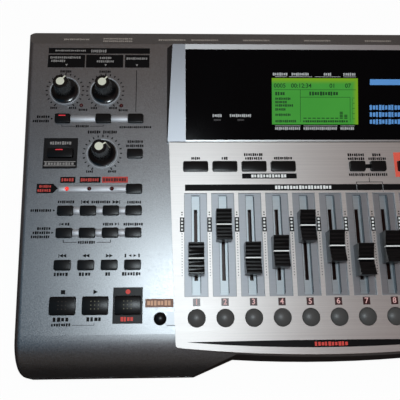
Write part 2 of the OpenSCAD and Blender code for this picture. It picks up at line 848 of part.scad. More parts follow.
// Connector plate behind the opening in the rear wall
module rear_plate() {
    size = [rear_open[0] + 2 * rear_rim, rear_plate_t, rear_open[1] + 2 * rear_rim];
    ear = [2, 10, rocker_size[2]];
    ear_u = rocker_size[0] / 2 + gap + ear[0] / 2;
    color([0.13, 0.13, 0.14]) difference() {
        union() {
            translate([-size[0] / 2, plate_face - seat - rear_plate_t, jack_z - size[2] / 2]) cube(size);
            for (s = [-1, 1]) {
                translate([switch_u + s * ear_u - ear[0] / 2, plate_face - seat - ear[1], jack_z - ear[2] / 2])
                    cube(ear);
            }
        }
        for (x = jack_u) rear_hole(x, bush_r + hole_gap);
        for (x = din_u) rear_hole(x, din_r + din_rim + hole_gap);
        rear_window(dc_u, dc_body[0] + 2 * hole_gap, dc_body[2] + 2 * hole_gap);
        rear_window(switch_u, rocker_size[0] + 2 * gap, rocker_size[2] + 6 * gap);
        translate([switch_u - far / 2, plate_face - pivot_in, jack_z]) rotate([0, 90, 0])
            cylinder(r = pivot_r + hole_gap, h = far);
    }
}

// Round hole through the connector plate
module rear_hole(x, r) {
    translate([x, plate_face - 3 * rear_plate_t, jack_z]) rotate([-90, 0, 0])
        cylinder(r = r, h = 4 * rear_plate_t);
}

// Square hole through the connector plate
module rear_window(x, w, h) {
    translate([x - w / 2, plate_face - 3 * rear_plate_t, jack_z - h / 2]) cube([w, 4 * rear_plate_t, h]);
}

// Phone jacks: body, threaded bush and nut round an open bore
module phone_jacks() {
    body = [14, 18, 14];
    back = plate_face - seat - rear_plate_t - seat;
    face = plate_face + nut_t;
    color([0.20, 0.20, 0.21]) for (x = jack_u) translate([x, 0, jack_z]) difference() {
        union() {
            translate([-body[0] / 2, back - body[1], -body[2] / 2]) cube(body);
            translate([0, back - 1, 0]) rotate([-90, 0, 0]) cylinder(r = bush_r, h = face - back + 1);
            translate([0, plate_face, 0]) rotate([-90, 0, 0])
                cylinder(r = bush_r + nut_rim, h = nut_t, $fn = 6);
        }
        translate([0, face - jack_depth, 0]) rotate([-90, 0, 0]) cylinder(r = jack_r, h = jack_depth + 1);
    }
}

// Five-pin sockets with their contact holes
module midi_sockets() {
    back = plate_face - seat - rear_plate_t - seat;
    face = plate_face + socket_out;
    body = [2 * din_r + 4 * din_rim, 14, 2 * din_r + 4 * din_rim];
    color([0.10, 0.10, 0.10]) for (x = din_u) translate([x, 0, jack_z]) difference() {
        union() {
            translate([-body[0] / 2, back - body[1], -body[2] / 2]) cube(body);
            translate([0, back - 1, 0]) rotate([-90, 0, 0]) cylinder(r = din_r + din_rim, h = face - back + 1);
        }
        translate([0, face - din_depth, 0]) rotate([-90, 0, 0]) cylinder(r = din_r, h = din_depth + 1);
    }
}

// Low-voltage inlet with its centre pin
module dc_inlet() {
    back = plate_face + socket_out - dc_body[1];
    floor_t = 3;
    pin_r = 1;
    color([0.05, 0.05, 0.05]) translate([dc_u, 0, jack_z]) {
        difference() {
            translate([-dc_body[0] / 2, back, -dc_body[2] / 2]) cube(dc_body);
            translate([0, back + floor_t, 0]) rotate([-90, 0, 0]) cylinder(r = dc_r, h = dc_body[1]);
        }
        translate([0, back + floor_t / 2, 0]) rotate([-90, 0, 0])
            cylinder(r = pin_r, h = dc_body[1] - floor_t, $fn = 24);
    }
}

// Rubber feet under the bottom plate
module feet() {
    bevel = 1;
    top = plate_top - plate_t - seat;
    color([0.06, 0.06, 0.06]) for (at = foot_at) translate([at[0], at[1], 0]) rotate_extrude()
        polygon([[0, 0], [foot_r - bevel, 0], [foot_r, bevel], [foot_r, top], [0, top]]);
}

// Screws up through the bottom plate into the case bosses
module case_screws() {
    under = plate_top - plate_t - seat;
    color([0.55, 0.55, 0.57]) for (at = boss_at) {
        rod(at, screw_head_r, under - screw_head_t, under);
        rod(at, screw_r, under - screw_head_t / 2, plate_top + screw_l - 1);
    }
}

// A pointer knob: skirt, fluted tapering grip, raised pointer and shaft; turn is clockwise from up
module knob(at, turn) {
    base = deck + gap;
    top = deck + knob_h;
    skirt_t = 1.4;
    shoulder = base + skirt_h;
    root_r = grip_r + grip_taper;
    ledge = 0.3;
    flare_w = skirt_r - root_r - ledge;
    flare_h = skirt_h - skirt_t;
    flare_r = (flare_w * flare_w + flare_h * flare_h) / (2 * flare_w);
    flute_r = 0.7;
    flute_lean = atan(grip_taper / (top - shoulder));
    pointer_w = 1;
    bevel = 0.5;
    color([0.06, 0.06, 0.06]) on_panel() translate([at[0], at[1], 0]) rotate([0, 0, -turn]) union() {
        difference() {
            rotate_extrude() difference() {
                polygon([
                    [0, base], [skirt_r, base], [skirt_r, shoulder], [root_r, shoulder],
                    [grip_r, top - bevel], [grip_r - bevel, top], [0, top]
                ]);
                translate([root_r + ledge + flare_r, shoulder]) circle(flare_r, $fn = 128);
            }
            for (i = [0:knob_flutes - 1]) rotate([0, 0, (i + 0.5) * 360 / knob_flutes])
                translate([0, root_r + flute_r / 3, shoulder + bevel]) rotate([flute_lean, 0, 0])
                    cylinder(r = flute_r, h = knob_h, $fn = 24);
        }
        translate([-pointer_w / 2, 0, base]) cube([pointer_w, skirt_r - hole_gap, skirt_t + bevel]);
        rod([0, 0], shaft_r, board_top + 2, base + 1);
    }
}

module sens_knob_1() { knob(sens_at[0], sens_turn[0]); }
module sens_knob_2() { knob(sens_at[1], sens_turn[1]); }
module input_level_knob() { knob(level_at, level_turn); }

// Large value dial with a finger dimple
module value_dial() {
    base = deck + gap;
    top = base + dial_h;
    rim = 2;
    dimple_r = 6.9;
    dimple_in = 9.7;
    notch_r = 0.9;
    notches = 30;
    color([0.10, 0.10, 0.11]) on_panel() translate([dial_at[0], dial_at[1], 0]) difference() {
        union() {
            rotate_extrude($fn = 128)
                polygon([[0, base], [dial_r, base], [dial_r, top - rim], [dial_r - rim, top], [0, top]]);
            rod([0, 0], shaft_r, board_top + 2, base + 1);
        }
        translate([0, dial_r - dimple_in, top + dimple_r * 0.8]) sphere(r = dimple_r);
        for (i = [0:notches - 1]) rotate([0, 0, i * 360 / notches])
            translate([dial_r + notch_r / 2, 0, base + 1]) cylinder(r = notch_r, h = dial_h, $fn = 16);
    }
}

// A fader cap with stepped ribs rising to its ends, a centre ridge and the blade into its slot
module fader(i) {
    u = (i - (fader_n + 1) / 2) * fader_pitch;
    v = fader_rest[i - 1];
    base = -channel_d + cap_lift;
    ridge = 0.8;
    ridge_h = 1.4;
    corner = 1;
    low = base + waist_h;
    step_l = (cap_l / 2 - ridge) / cap_ribs;
    step_h = (base + cap_h - low) / cap_ribs;
    half = [for (k = [0:cap_ribs - 1]) each [
        [ridge + k * step_l, low + k * step_h],
        [ridge + (k + 0.55) * step_l, low + (k + 1) * step_h],
        [ridge + (k + 1) * step_l - 0.3, low + (k + 1) * step_h]
    ]];
    outline = concat(
        [[cap_l / 2, base], [cap_l / 2, base + cap_h - corner]],
        [for (k = [len(half) - 1:-1:0]) half[k]],
        [[ridge, low + ridge_h], [-ridge, low + ridge_h]],
        [for (p = half) [-p[0], p[1]]],
        [[-cap_l / 2, base + cap_h - corner], [-cap_l / 2, base]]
    );
    color([0.09, 0.09, 0.10]) on_panel() translate([u, v, 0]) union() {
        translate([-cap_w / 2, 0, 0]) rotate([90, 0, 90]) linear_extrude(height = cap_w) polygon(outline);
        block([0, 0], [blade_w, blade_l], trough_under - track_h / 2, base + 1);
    }
}

module stop_key() { transport_key(0); }
module play_key() { transport_key(1); }
module rec_key() { transport_key(2); }

// One of the three large transport keys
module transport_key(i) {
    color([0.10, 0.10, 0.11]) on_panel()
        key([transport_u[i], transport_v], [transport_w, transport_l], deck, deck_under);
}

// Round key under a fader
module track_key(i) {
    color([0.24, 0.25, 0.26]) on_panel()
        round_key([(i - (fader_n + 1) / 2) * fader_pitch, track_v], track_r, 0, deck);
}

// Single keys on the deck
module deck_key(at, w) {
    color([0.10, 0.10, 0.11]) on_panel() key(at, [w, key_l], deck, deck_under);
}
module take_key() { color([0.10, 0.10, 0.11]) on_panel() round_key(take_at, take_r, deck, deck_under); }
module effects_key() { deck_key(effects_at, effects_w); }
module tuner_key() { deck_key([col_right, tuner_v], key_w); }
module rec_mode_key() { deck_key([col_right, rec_mode_v], key_w); }

// Rows of small keys on the deck
module deck_row(us, v) {
    color([0.10, 0.10, 0.11]) on_panel() key_row(us, v, [key_w, key_l], deck, deck_under);
}
module input_select_keys() { deck_row(select_u, select_v); }
module marker_keys() { deck_row(cols, marker_v); }
module punch_keys() { deck_row(cols, punch_v); }
module locate_keys() { deck_row(cols, locate_v); }

// Rows of keys on the mixer panel
module mixer_fx_keys() {
    color([0.10, 0.10, 0.11]) on_panel() key_row(fx_u, fx_v, [fx_w, fx_l], 0, deck);
}
module tool_keys() {
    color([0.10, 0.10, 0.11]) on_panel() {
        key_row([tool_u[0], tool_u[1]], fx_v, [key_w, fx_l], 0, deck);
        key_row([tool_u[1], tool_u[2]], fx_v, [key_w, fx_l], 0, deck);
        key([tool_u[2], fx_v], [fx_w, fx_l], 0, deck);
    }
}

// Four cursor keys on a cross-shaped carrier
module cursor_keys() {
    low = deck_under - travel_gap - flange_t;
    small = [key_w, key_l];
    us = [cursor_at[0] - cursor_du, cursor_at[0] + cursor_du];
    color([0.10, 0.10, 0.11]) on_panel() {
        key_row(us, cursor_at[1], small, deck, deck_under);
        for (s = [-1, 1]) key([cursor_at[0], cursor_at[1] + s * cursor_dv], small, deck, deck_under);
        block(cursor_at, [stem_w, 2 * cursor_dv], low, deck_under - travel_gap);
    }
}

// Two rows of edit keys on one carrier
module edit_keys() {
    low = deck_under - travel_gap - flange_t;
    us = [for (i = [len(cols) - 1:-1:0]) -cols[i]];
    color([0.10, 0.10, 0.11]) on_panel() {
        for (v = edit_rows) key_row(us, v, [key_w, key_l], deck, deck_under);
        block([us[0], (edit_rows[0] + edit_rows[1]) / 2], [stem_w, edit_rows[0] - edit_rows[1]], low,
            deck_under - travel_gap);
    }
}

// Rocker of the power switch on its pivot, resting with its upper half pressed in
module power_switch() {
    w = rocker_size[0];
    h = rocker_size[2] / 2;
    face = pivot_in + 1.2;
    dish = 0.6;
    rim = 1;
    root = 2;
    color([0.07, 0.07, 0.07]) translate([switch_u, plate_face - pivot_in, jack_z]) rotate([rocker_tilt, 0, 0])
        union() {
            translate([-w / 2, 0, 0]) rotate([90, 0, 90]) linear_extrude(height = w) polygon([
                [-root, -root], [face - rim, -h], [face, -h], [face - dish, 0],
                [face, h], [face - rim, h], [-root, root]
            ]);
            translate([-w / 2 - pivot_l, 0, 0]) rotate([0, 90, 0]) cylinder(r = pivot_r, h = w + 2 * pivot_l);
        }
}

upper_case();
bottom_plate();
mixer_panel();
display_housing();
display_window();
lcd_module();
panel_bars();
key_plates();
panel_lamps();
panel_boards();
main_board();
fader_tracks();
rotary_pots();
hard_disk();
rear_plate();
phone_jacks();
midi_sockets();
dc_inlet();
feet();
case_screws();
sens_knob_1();
sens_knob_2();
input_level_knob();
value_dial();
fader(1);  // fader_1
fader(2);  // fader_2
fader(3);  // fader_3
fader(4);  // fader_4
fader(5);  // fader_5
fader(6);  // fader_6
fader(7);  // fader_7
fader(8);  // fader_8
fader(9);  // fader_9
fader(10);  // fader_10
stop_key();
play_key();
rec_key();
track_key(1);  // track_key_1
track_key(2);  // track_key_2
track_key(3);  // track_key_3
track_key(4);  // track_key_4
track_key(5);  // track_key_5
track_key(6);  // track_key_6
track_key(7);  // track_key_7
track_key(8);  // track_key_8
track_key(9);  // track_key_9
track_key(10);  // track_key_10
take_key();
effects_key();
tuner_key();
rec_mode_key();
input_select_keys();
marker_keys();
punch_keys();
locate_keys();
mixer_fx_keys();
tool_keys();
cursor_keys();
edit_keys();
power_switch();
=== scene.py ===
# %% [markdown]
# A desktop multitrack recorder, dressed for its photograph.
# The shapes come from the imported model: case, panels, keys, knobs and faders are all there.
# This lesson gives them finishes, adds the printed marks, and lights them as in a small studio.

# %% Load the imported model
import math

import bpy
import numpy as np
from mathutils import Matrix


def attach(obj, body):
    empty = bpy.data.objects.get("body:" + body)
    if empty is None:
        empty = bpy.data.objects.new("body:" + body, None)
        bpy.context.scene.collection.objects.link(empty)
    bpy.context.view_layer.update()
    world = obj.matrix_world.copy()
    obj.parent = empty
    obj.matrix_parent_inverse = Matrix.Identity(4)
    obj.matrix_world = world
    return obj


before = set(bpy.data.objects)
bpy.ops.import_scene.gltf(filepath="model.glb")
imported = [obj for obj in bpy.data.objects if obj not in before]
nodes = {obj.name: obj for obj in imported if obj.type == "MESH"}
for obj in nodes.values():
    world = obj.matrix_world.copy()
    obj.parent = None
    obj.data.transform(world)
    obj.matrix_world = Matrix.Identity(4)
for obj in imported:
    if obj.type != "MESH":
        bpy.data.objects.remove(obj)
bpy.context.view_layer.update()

# %% [markdown]
# Most of the recorder lies on a sloping deck, so places are easiest to give in the deck's own frame:
# u to the right, v up the slope from the front end of the fader slots, and w straight out of the mixer panel.
# The display has a second frame, tilted further, with s up its face and h out of it.
# Both are in millimetres, and both functions give metres in the frame of the model.

# %% Panel and display frames
SLOPE = math.radians(8.0)
SLOT_Y, SLOT_Z = -69.5, 57.7
SEAM_V, TILT, FACE_UP = 104.4, math.radians(14.0), 74.2
DECK = -3.0


def on_panel(points):
    """Panel coordinates to the model's: turned about X by the slope, then moved to the slot line."""
    u, v, w = np.moveaxis(np.asarray(points, float), -1, 0)
    c, s = math.cos(SLOPE), math.sin(SLOPE)
    return np.stack([u, SLOT_Y + v * c - w * s, SLOT_Z + v * s + w * c], -1) / 1000


def on_display(points):
    """Display coordinates to the model's: turned about X by the tilt at the seam, then as for the panel."""
    u, s, h = np.moveaxis(np.asarray(points, float), -1, 0)
    c, k = math.cos(TILT), math.sin(TILT)
    return on_panel(np.stack([u, SEAM_V + s * c - h * k, s * k + h * c], -1))


print("slot line at", on_panel([0, 0, 0]), "top of the display at", on_display([0, FACE_UP, 0]))

# %% [markdown]
# The camera was solved from the photograph: known points of the panel against their pixels.
# The solution is a turn and a move from the panel's frame to the camera's, and a focal length in pixels.
# The camera looks down its own -Z with Y up, so the turn's transpose is its rotation.

# %% Camera
FRAME_PX, FOCAL_PX, SENSOR_MM = 400, 518.233, 36.0
CLIP_NEAR, CLIP_FAR = 0.01, 50.0
CAMERA_TURN = (-0.257378, 0.0298601, 0.00413576)
CAMERA_MOVE = np.array([87.3736, -56.3646, -368.7588])


def camera_matrix():
    """World matrix of the camera: the inverse of panel to camera, followed by panel to model."""
    rx, ry, rz = CAMERA_TURN
    turn = Matrix.Rotation(rz, 3, "Z") @ Matrix.Rotation(ry, 3, "Y") @ Matrix.Rotation(rx, 3, "X")
    to_panel = np.array(turn).T
    tilt = np.array(Matrix.Rotation(SLOPE, 3, "X"))
    place = Matrix((tilt @ to_panel).tolist()).to_4x4()
    place.translation = on_panel(-to_panel @ CAMERA_MOVE)
    return place


camera_data = bpy.data.cameras.new("photo_camera")
camera_data.sensor_width = SENSOR_MM
camera_data.lens = SENSOR_MM * FOCAL_PX / FRAME_PX
camera_data.clip_start, camera_data.clip_end = CLIP_NEAR, CLIP_FAR
camera = bpy.data.objects.new("photo_camera", camera_data)
bpy.context.scene.collection.objects.link(camera)
camera.matrix_world = camera_matrix()
bpy.context.scene.camera = camera
print("camera at", [round(x, 4) for x in camera.location], "lens", round(camera_data.lens, 2), "mm")

# %% [markdown]
# The floor is pale and the room is plain white to the camera and to reflections.
# The photograph was lit by a small flash just above the lens: the metallic deck is brightest where it
# mirrors that flash and falls off evenly round it. A tent of dim cards that only reflections see keeps the
# rest of the metal quiet. Each card has the tint of what the metal mirrors on its side: blue at the upper
# left, and warm grey elsewhere. The mat behind the recorder is brighter, so that its rear doesn't go black,
# and a large softbox overhead gives the plain level of light.

# %% Floor, room and lights
FLOOR_HALF, FLOOR_SHARE = 6.0, 0.96
MAT_UP, TENT_X, TENT_FRONT, TENT_REAR, TENT_TOP = 0.001, 1.5, -1.4, 1.8, 1.3
SPLIT, SPLIT_Y = -0.42, 0.32
FLASH_W, FLASH_TINT, FLASH_UP, FLASH_ACROSS = 0.715, (0.835, 0.945, 1.0), 0.055, 0.07
SOFTBOX_W, SOFTBOX_UP, SOFTBOX_ACROSS = 3.5, 1.2, 1.2
SKY_LEVEL = 0.30


def seen_ray(tree):
    """One for rays that show the background: camera, glossy and transmission rays."""
    path = tree.nodes.new("ShaderNodeLightPath")
    total = path.outputs["Is Camera Ray"]
    for name in ("Is Glossy Ray", "Is Transmission Ray"):
        join = tree.nodes.new("ShaderNodeMath")
        join.operation = "MAXIMUM"
        tree.links.new(total, join.inputs[0])
        tree.links.new(path.outputs[name], join.inputs[1])
        total = join.outputs[0]
    return total


def new_tree(name):
    """An empty material; gives it, its node tree and its output node."""
    mat = bpy.data.materials.new(name)
    mat.use_nodes = True
    mat.node_tree.nodes.clear()
    return mat, mat.node_tree, mat.node_tree.nodes.new("ShaderNodeOutputMaterial")


def stage_card(name, corners, material, only_glossy=True):
    """A flat four-cornered card of the studio, which isn't part of the recorder."""
    mesh = bpy.data.meshes.new(name)
    mesh.from_pydata(corners, [], [(0, 1, 2, 3)])
    mesh.materials.append(material)
    card = bpy.data.objects.new(name, mesh)
    bpy.context.scene.collection.objects.link(card)
    if only_glossy:
        card.visible_camera = card.visible_diffuse = card.visible_shadow = False
        card.visible_transmission = False
    return card


def floor_material():
    """Pale floor: mostly its own white to the background's rays, so that only a faint shadow is left."""
    mat, tree, out = new_tree("pale_floor")
    mix = tree.nodes.new("ShaderNodeMixShader")
    diffuse = tree.nodes.new("ShaderNodeBsdfDiffuse")
    diffuse.inputs["Color"].default_value = (0.9, 0.9, 0.9, 1)
    glow = tree.nodes.new("ShaderNodeEmission")
    glow.inputs["Strength"].default_value = 1.0
    share = tree.nodes.new("ShaderNodeMath")
    share.operation = "MULTIPLY"
    share.inputs[1].default_value = FLOOR_SHARE
    tree.links.new(seen_ray(tree), share.inputs[0])
    tree.links.new(share.outputs[0], mix.inputs["Fac"])
    tree.links.new(diffuse.outputs[0], mix.inputs[1])
    tree.links.new(glow.outputs[0], mix.inputs[2])
    tree.links.new(mix.outputs[0], out.inputs["Surface"])
    return mat


def card_material(name, colour):
    """Dim cloth of a card: one even glow."""
    mat, tree, out = new_tree(name)
    glow = tree.nodes.new("ShaderNodeEmission")
    glow.inputs["Color"].default_value = (*colour, 1)
    tree.links.new(glow.outputs[0], out.inputs["Surface"])
    return mat


def tent_card(name, low, high, colour):
    """A card of the tent between two opposite corners; one of the three sizes is nought."""
    (x0, y0, z0), (x1, y1, z1) = low, high
    if z0 == z1:
        corners = [(x0, y0, z0), (x1, y0, z0), (x1, y1, z0), (x0, y1, z0)]
    else:
        corners = [(x0, y0, z0), (x1, y1, z0), (x1, y1, z1), (x0, y0, z1)]
    return stage_card(name, corners, card_material(name, colour))


h = FLOOR_HALF
stage_card("floor", [(-h, -h, 0), (h, -h, 0), (h, h, 0), (-h, h, 0)], floor_material(), False)
TENT = (
    ("tent_mat", (-TENT_X, TENT_FRONT, MAT_UP), (TENT_X, 0.0, MAT_UP), (0.012, 0.009, 0.008)),
    ("tent_rear_mat", (-TENT_X, 0.0, MAT_UP), (TENT_X, TENT_REAR, MAT_UP), (0.110, 0.105, 0.102)),
    ("tent_top_left", (-TENT_X, TENT_FRONT, TENT_TOP), (SPLIT, SPLIT_Y, TENT_TOP), (0.040, 0.128, 0.205)),
    ("tent_top", (SPLIT, TENT_FRONT, TENT_TOP), (TENT_X, SPLIT_Y, TENT_TOP), (0.150, 0.086, 0.078)),
    ("tent_top_rear", (-TENT_X, SPLIT_Y, TENT_TOP), (TENT_X, TENT_REAR, TENT_TOP), (0.165, 0.117, 0.090)),
    ("tent_rear", (-TENT_X, TENT_REAR, 0), (TENT_X, TENT_REAR, TENT_TOP), (0.125, 0.115, 0.110)),
    ("tent_front", (-TENT_X, TENT_FRONT, 0), (TENT_X, TENT_FRONT, TENT_TOP), (0.083, 0.069, 0.061)),
    ("tent_left", (-TENT_X, TENT_FRONT, 0), (-TENT_X, TENT_REAR, TENT_TOP), (0.050, 0.034, 0.027)),
    ("tent_right", (TENT_X, TENT_FRONT, 0), (TENT_X, TENT_REAR, TENT_TOP), (0.022, 0.018, 0.016)),
)
for card in TENT:
    tent_card(*card)

world = bpy.data.worlds.new("studio")
bpy.context.scene.world = world
world.use_nodes = True
sky = world.node_tree.nodes["Background"]
strength = world.node_tree.nodes.new("ShaderNodeMapRange")
strength.inputs["To Min"].default_value = SKY_LEVEL
strength.inputs["To Max"].default_value = 1.0
world.node_tree.links.new(seen_ray(world.node_tree), strength.inputs["Value"])
world.node_tree.links.new(strength.outputs["Result"], sky.inputs["Strength"])
sky.inputs["Color"].default_value = (1, 1, 1, 1)


def soft_lamp(name, matrix, shape, size, power, glossy, tint=(1.0, 1.0, 1.0)):
    """An area lamp that shines along the -Z of its matrix; glossy says if reflections show it."""
    data = bpy.data.lights.new(name, "AREA")
    data.shape, data.size, data.energy, data.color = shape, size, power, tint
    lamp = bpy.data.objects.new(name, data)
    bpy.context.scene.collection.objects.link(lamp)
    lamp.matrix_world = matrix
    lamp.visible_glossy = glossy


over_lens = camera.matrix_world @ Matrix.Translation((0.0, FLASH_UP, 0.0))
soft_lamp("flash", over_lens, "DISK", FLASH_ACROSS, FLASH_W, True, FLASH_TINT)
overhead = Matrix.Translation((0.0, 0.0, SOFTBOX_UP))
soft_lamp("overhead_softbox", overhead, "SQUARE", SOFTBOX_ACROSS, SOFTBOX_W, False)
bpy.context.scene.view_settings.view_transform = "Standard"

# %% [markdown]
# Real finishes are never one flat colour. Three effects are shared by many of them, so each is a node
# group with its own inputs: metal flake in paint, lines in brushed metal, and the grain of moulded plastic.
# They read Object coordinates, which are metres here, so a scale of 2000 gives specks of half a millimetre.

# %% Shared effects


def new_group(name, inputs, outputs):
    """An empty shader node group with named sockets; gives the tree, its input and its output node."""
    tree = bpy.data.node_groups.new(name, "ShaderNodeTree")
    tree.interface.new_socket("Vector", in_out="INPUT", socket_type="NodeSocketVector")
    for label, value in inputs:
        tree.interface.new_socket(label, in_out="INPUT", socket_type="NodeSocketFloat").default_value = value
    for label in outputs:
        tree.interface.new_socket(label, in_out="OUTPUT", socket_type="NodeSocketFloat")
    return tree, tree.nodes.new("NodeGroupInput"), tree.nodes.new("NodeGroupOutput")


def noise(tree, vector, scale, detail=2.0):
    """A noise texture; scale is a number or a socket."""
    node = tree.nodes.new("ShaderNodeTexNoise")
    node.inputs["Detail"].default_value = detail
    tree.links.new(vector, node.inputs["Vector"])
    if isinstance(scale, (int, float)):
        node.inputs["Scale"].default_value = scale
    else:
        tree.links.new(scale, node.inputs["Scale"])
    return node.outputs[0]


def sums(tree, operation, a, b, c=None):
    """One Math node over numbers or sockets."""
    node = tree.nodes.new("ShaderNodeMath")
    node.operation = operation
    for socket, value in zip(node.inputs, (a, b, c)):
        if isinstance(value, (int, float)):
            socket.default_value = value
        elif value is not None:
            tree.links.new(value, socket)
    return node.outputs[0]


def vary(tree, value, spread, base=1.0):
    """Base + spread x (value - 1/2)."""
    return sums(tree, "MULTIPLY_ADD", sums(tree, "SUBTRACT", value, 0.5), spread, base)


CLOUD_SCALE, CLOUD_PART, HANDLING_SCALE = 14.0, 7.0, 60.0
BRUSH_SQUEEZE = (14.0, 1900.0, 1900.0)


def metal_flake_group():
    """Shade = 1 + spread x (fine noise - 1/2) + spread/7 x (slow noise - 1/2); height is the fine noise."""
    tree, start, end = new_group("metal_flake", [("Scale", 2500.0), ("Spread", 0.2)], ["Shade", "Height"])
    fine = noise(tree, start.outputs["Vector"], start.outputs["Scale"])
    slow = noise(tree, start.outputs["Vector"], CLOUD_SCALE, 3.0)
    part = sums(tree, "DIVIDE", start.outputs["Spread"], CLOUD_PART)
    shade = vary(tree, slow, part, vary(tree, fine, start.outputs["Spread"]))
    tree.links.new(shade, end.inputs["Shade"])
    tree.links.new(fine, end.inputs["Height"])
    return tree


def brushed_lines_group():
    """Noise squeezed across the lines and stretched along X; shade is 1 + spread x (noise - 1/2)."""
    tree, start, end = new_group("brushed_lines", [("Scale", 1.0), ("Spread", 0.1)], ["Shade", "Height"])
    squeeze = tree.nodes.new("ShaderNodeVectorMath")
    squeeze.operation = "MULTIPLY"
    squeeze.inputs[1].default_value = BRUSH_SQUEEZE
    tree.links.new(start.outputs["Vector"], squeeze.inputs[0])
    lines = noise(tree, squeeze.outputs[0], start.outputs["Scale"], 3.0)
    tree.links.new(vary(tree, lines, start.outputs["Spread"]), end.inputs["Shade"])
    tree.links.new(lines, end.inputs["Height"])
    return tree


def moulded_grain_group():
    """Height is fine noise; shade is slow noise, as handling polishes some places and dulls others."""
    tree, start, end = new_group("moulded_grain", [("Scale", 3000.0), ("Spread", 0.15)], ["Shade", "Height"])
    fine = noise(tree, start.outputs["Vector"], start.outputs["Scale"], 3.0)
    slow = noise(tree, start.outputs["Vector"], HANDLING_SCALE, 3.0)
    tree.links.new(vary(tree, slow, start.outputs["Spread"]), end.inputs["Shade"])
    tree.links.new(fine, end.inputs["Height"])
    return tree


EFFECTS = {g.name: g for g in (metal_flake_group(), brushed_lines_group(), moulded_grain_group())}
print("shared effects:", sorted(EFFECTS))

# %% [markdown]
# A finish is a Principled shader fed by one of these effects: the shade multiplies the colour and the
# roughness, and the height goes through a Bump node. Numbers that don't change over the surface are set
# on the shader's own sockets. Most printed inks differ only in colour,
# and those share one recipe.

# %% Finishes
COAT_ROUGH, BUMP_DISTANCE = 0.12, 0.0002


def srgb(r, g, b):
    """A colour from 0 to 255 as seen on a screen, in the linear values that shaders use."""
    c = np.array([r, g, b]) / 255
    return (*np.where(c <= 0.04045, c / 12.92, ((c + 0.055) / 1.055) ** 2.4).tolist(), 1.0)


def finish(name, colour, rough, effect, scale, spread, bump=0.0, metallic=0.0, specular=0.5, coat=0.0):
    """A material whose colour and roughness follow an effect's shade, and whose bump follows its height."""
    mat = bpy.data.materials.new(name)
    mat.use_nodes = True
    tree = mat.node_tree
    bsdf = tree.nodes["Principled BSDF"]
    bsdf.inputs["Metallic"].default_value = metallic
    bsdf.inputs["Specular IOR Level"].default_value = specular
    bsdf.inputs["Coat Weight"].default_value = coat
    bsdf.inputs["Coat Roughness"].default_value = COAT_ROUGH
    where = tree.nodes.new("ShaderNodeTexCoord")
    group = tree.nodes.new("ShaderNodeGroup")
    group.node_tree = EFFECTS[effect]
    group.inputs["Scale"].default_value = scale
    group.inputs["Spread"].default_value = spread
    tree.links.new(where.outputs["Object"], group.inputs["Vector"])
    tint = tree.nodes.new("ShaderNodeMix")
    tint.data_type, tint.blend_type = "RGBA", "MULTIPLY"
    tint.name = "tint"
    tint.inputs["Factor"].default_value = 1.0
    tint.inputs["A"].default_value = colour
    tree.links.new(group.outputs["Shade"], tint.inputs["B"])
    tree.links.new(tint.outputs["Result"], bsdf.inputs["Base Color"])
    tree.links.new(sums(tree, "MULTIPLY", group.outputs["Shade"], rough), bsdf.inputs["Roughness"])
    if bump:
        rise = tree.nodes.new("ShaderNodeBump")
        rise.inputs["Strength"].default_value = bump
        rise.inputs["Distance"].default_value = BUMP_DISTANCE
        tree.links.new(group.outputs["Height"], rise.inputs["Height"])
        tree.links.new(rise.outputs["Normal"], bsdf.inputs["Normal"])
    return mat


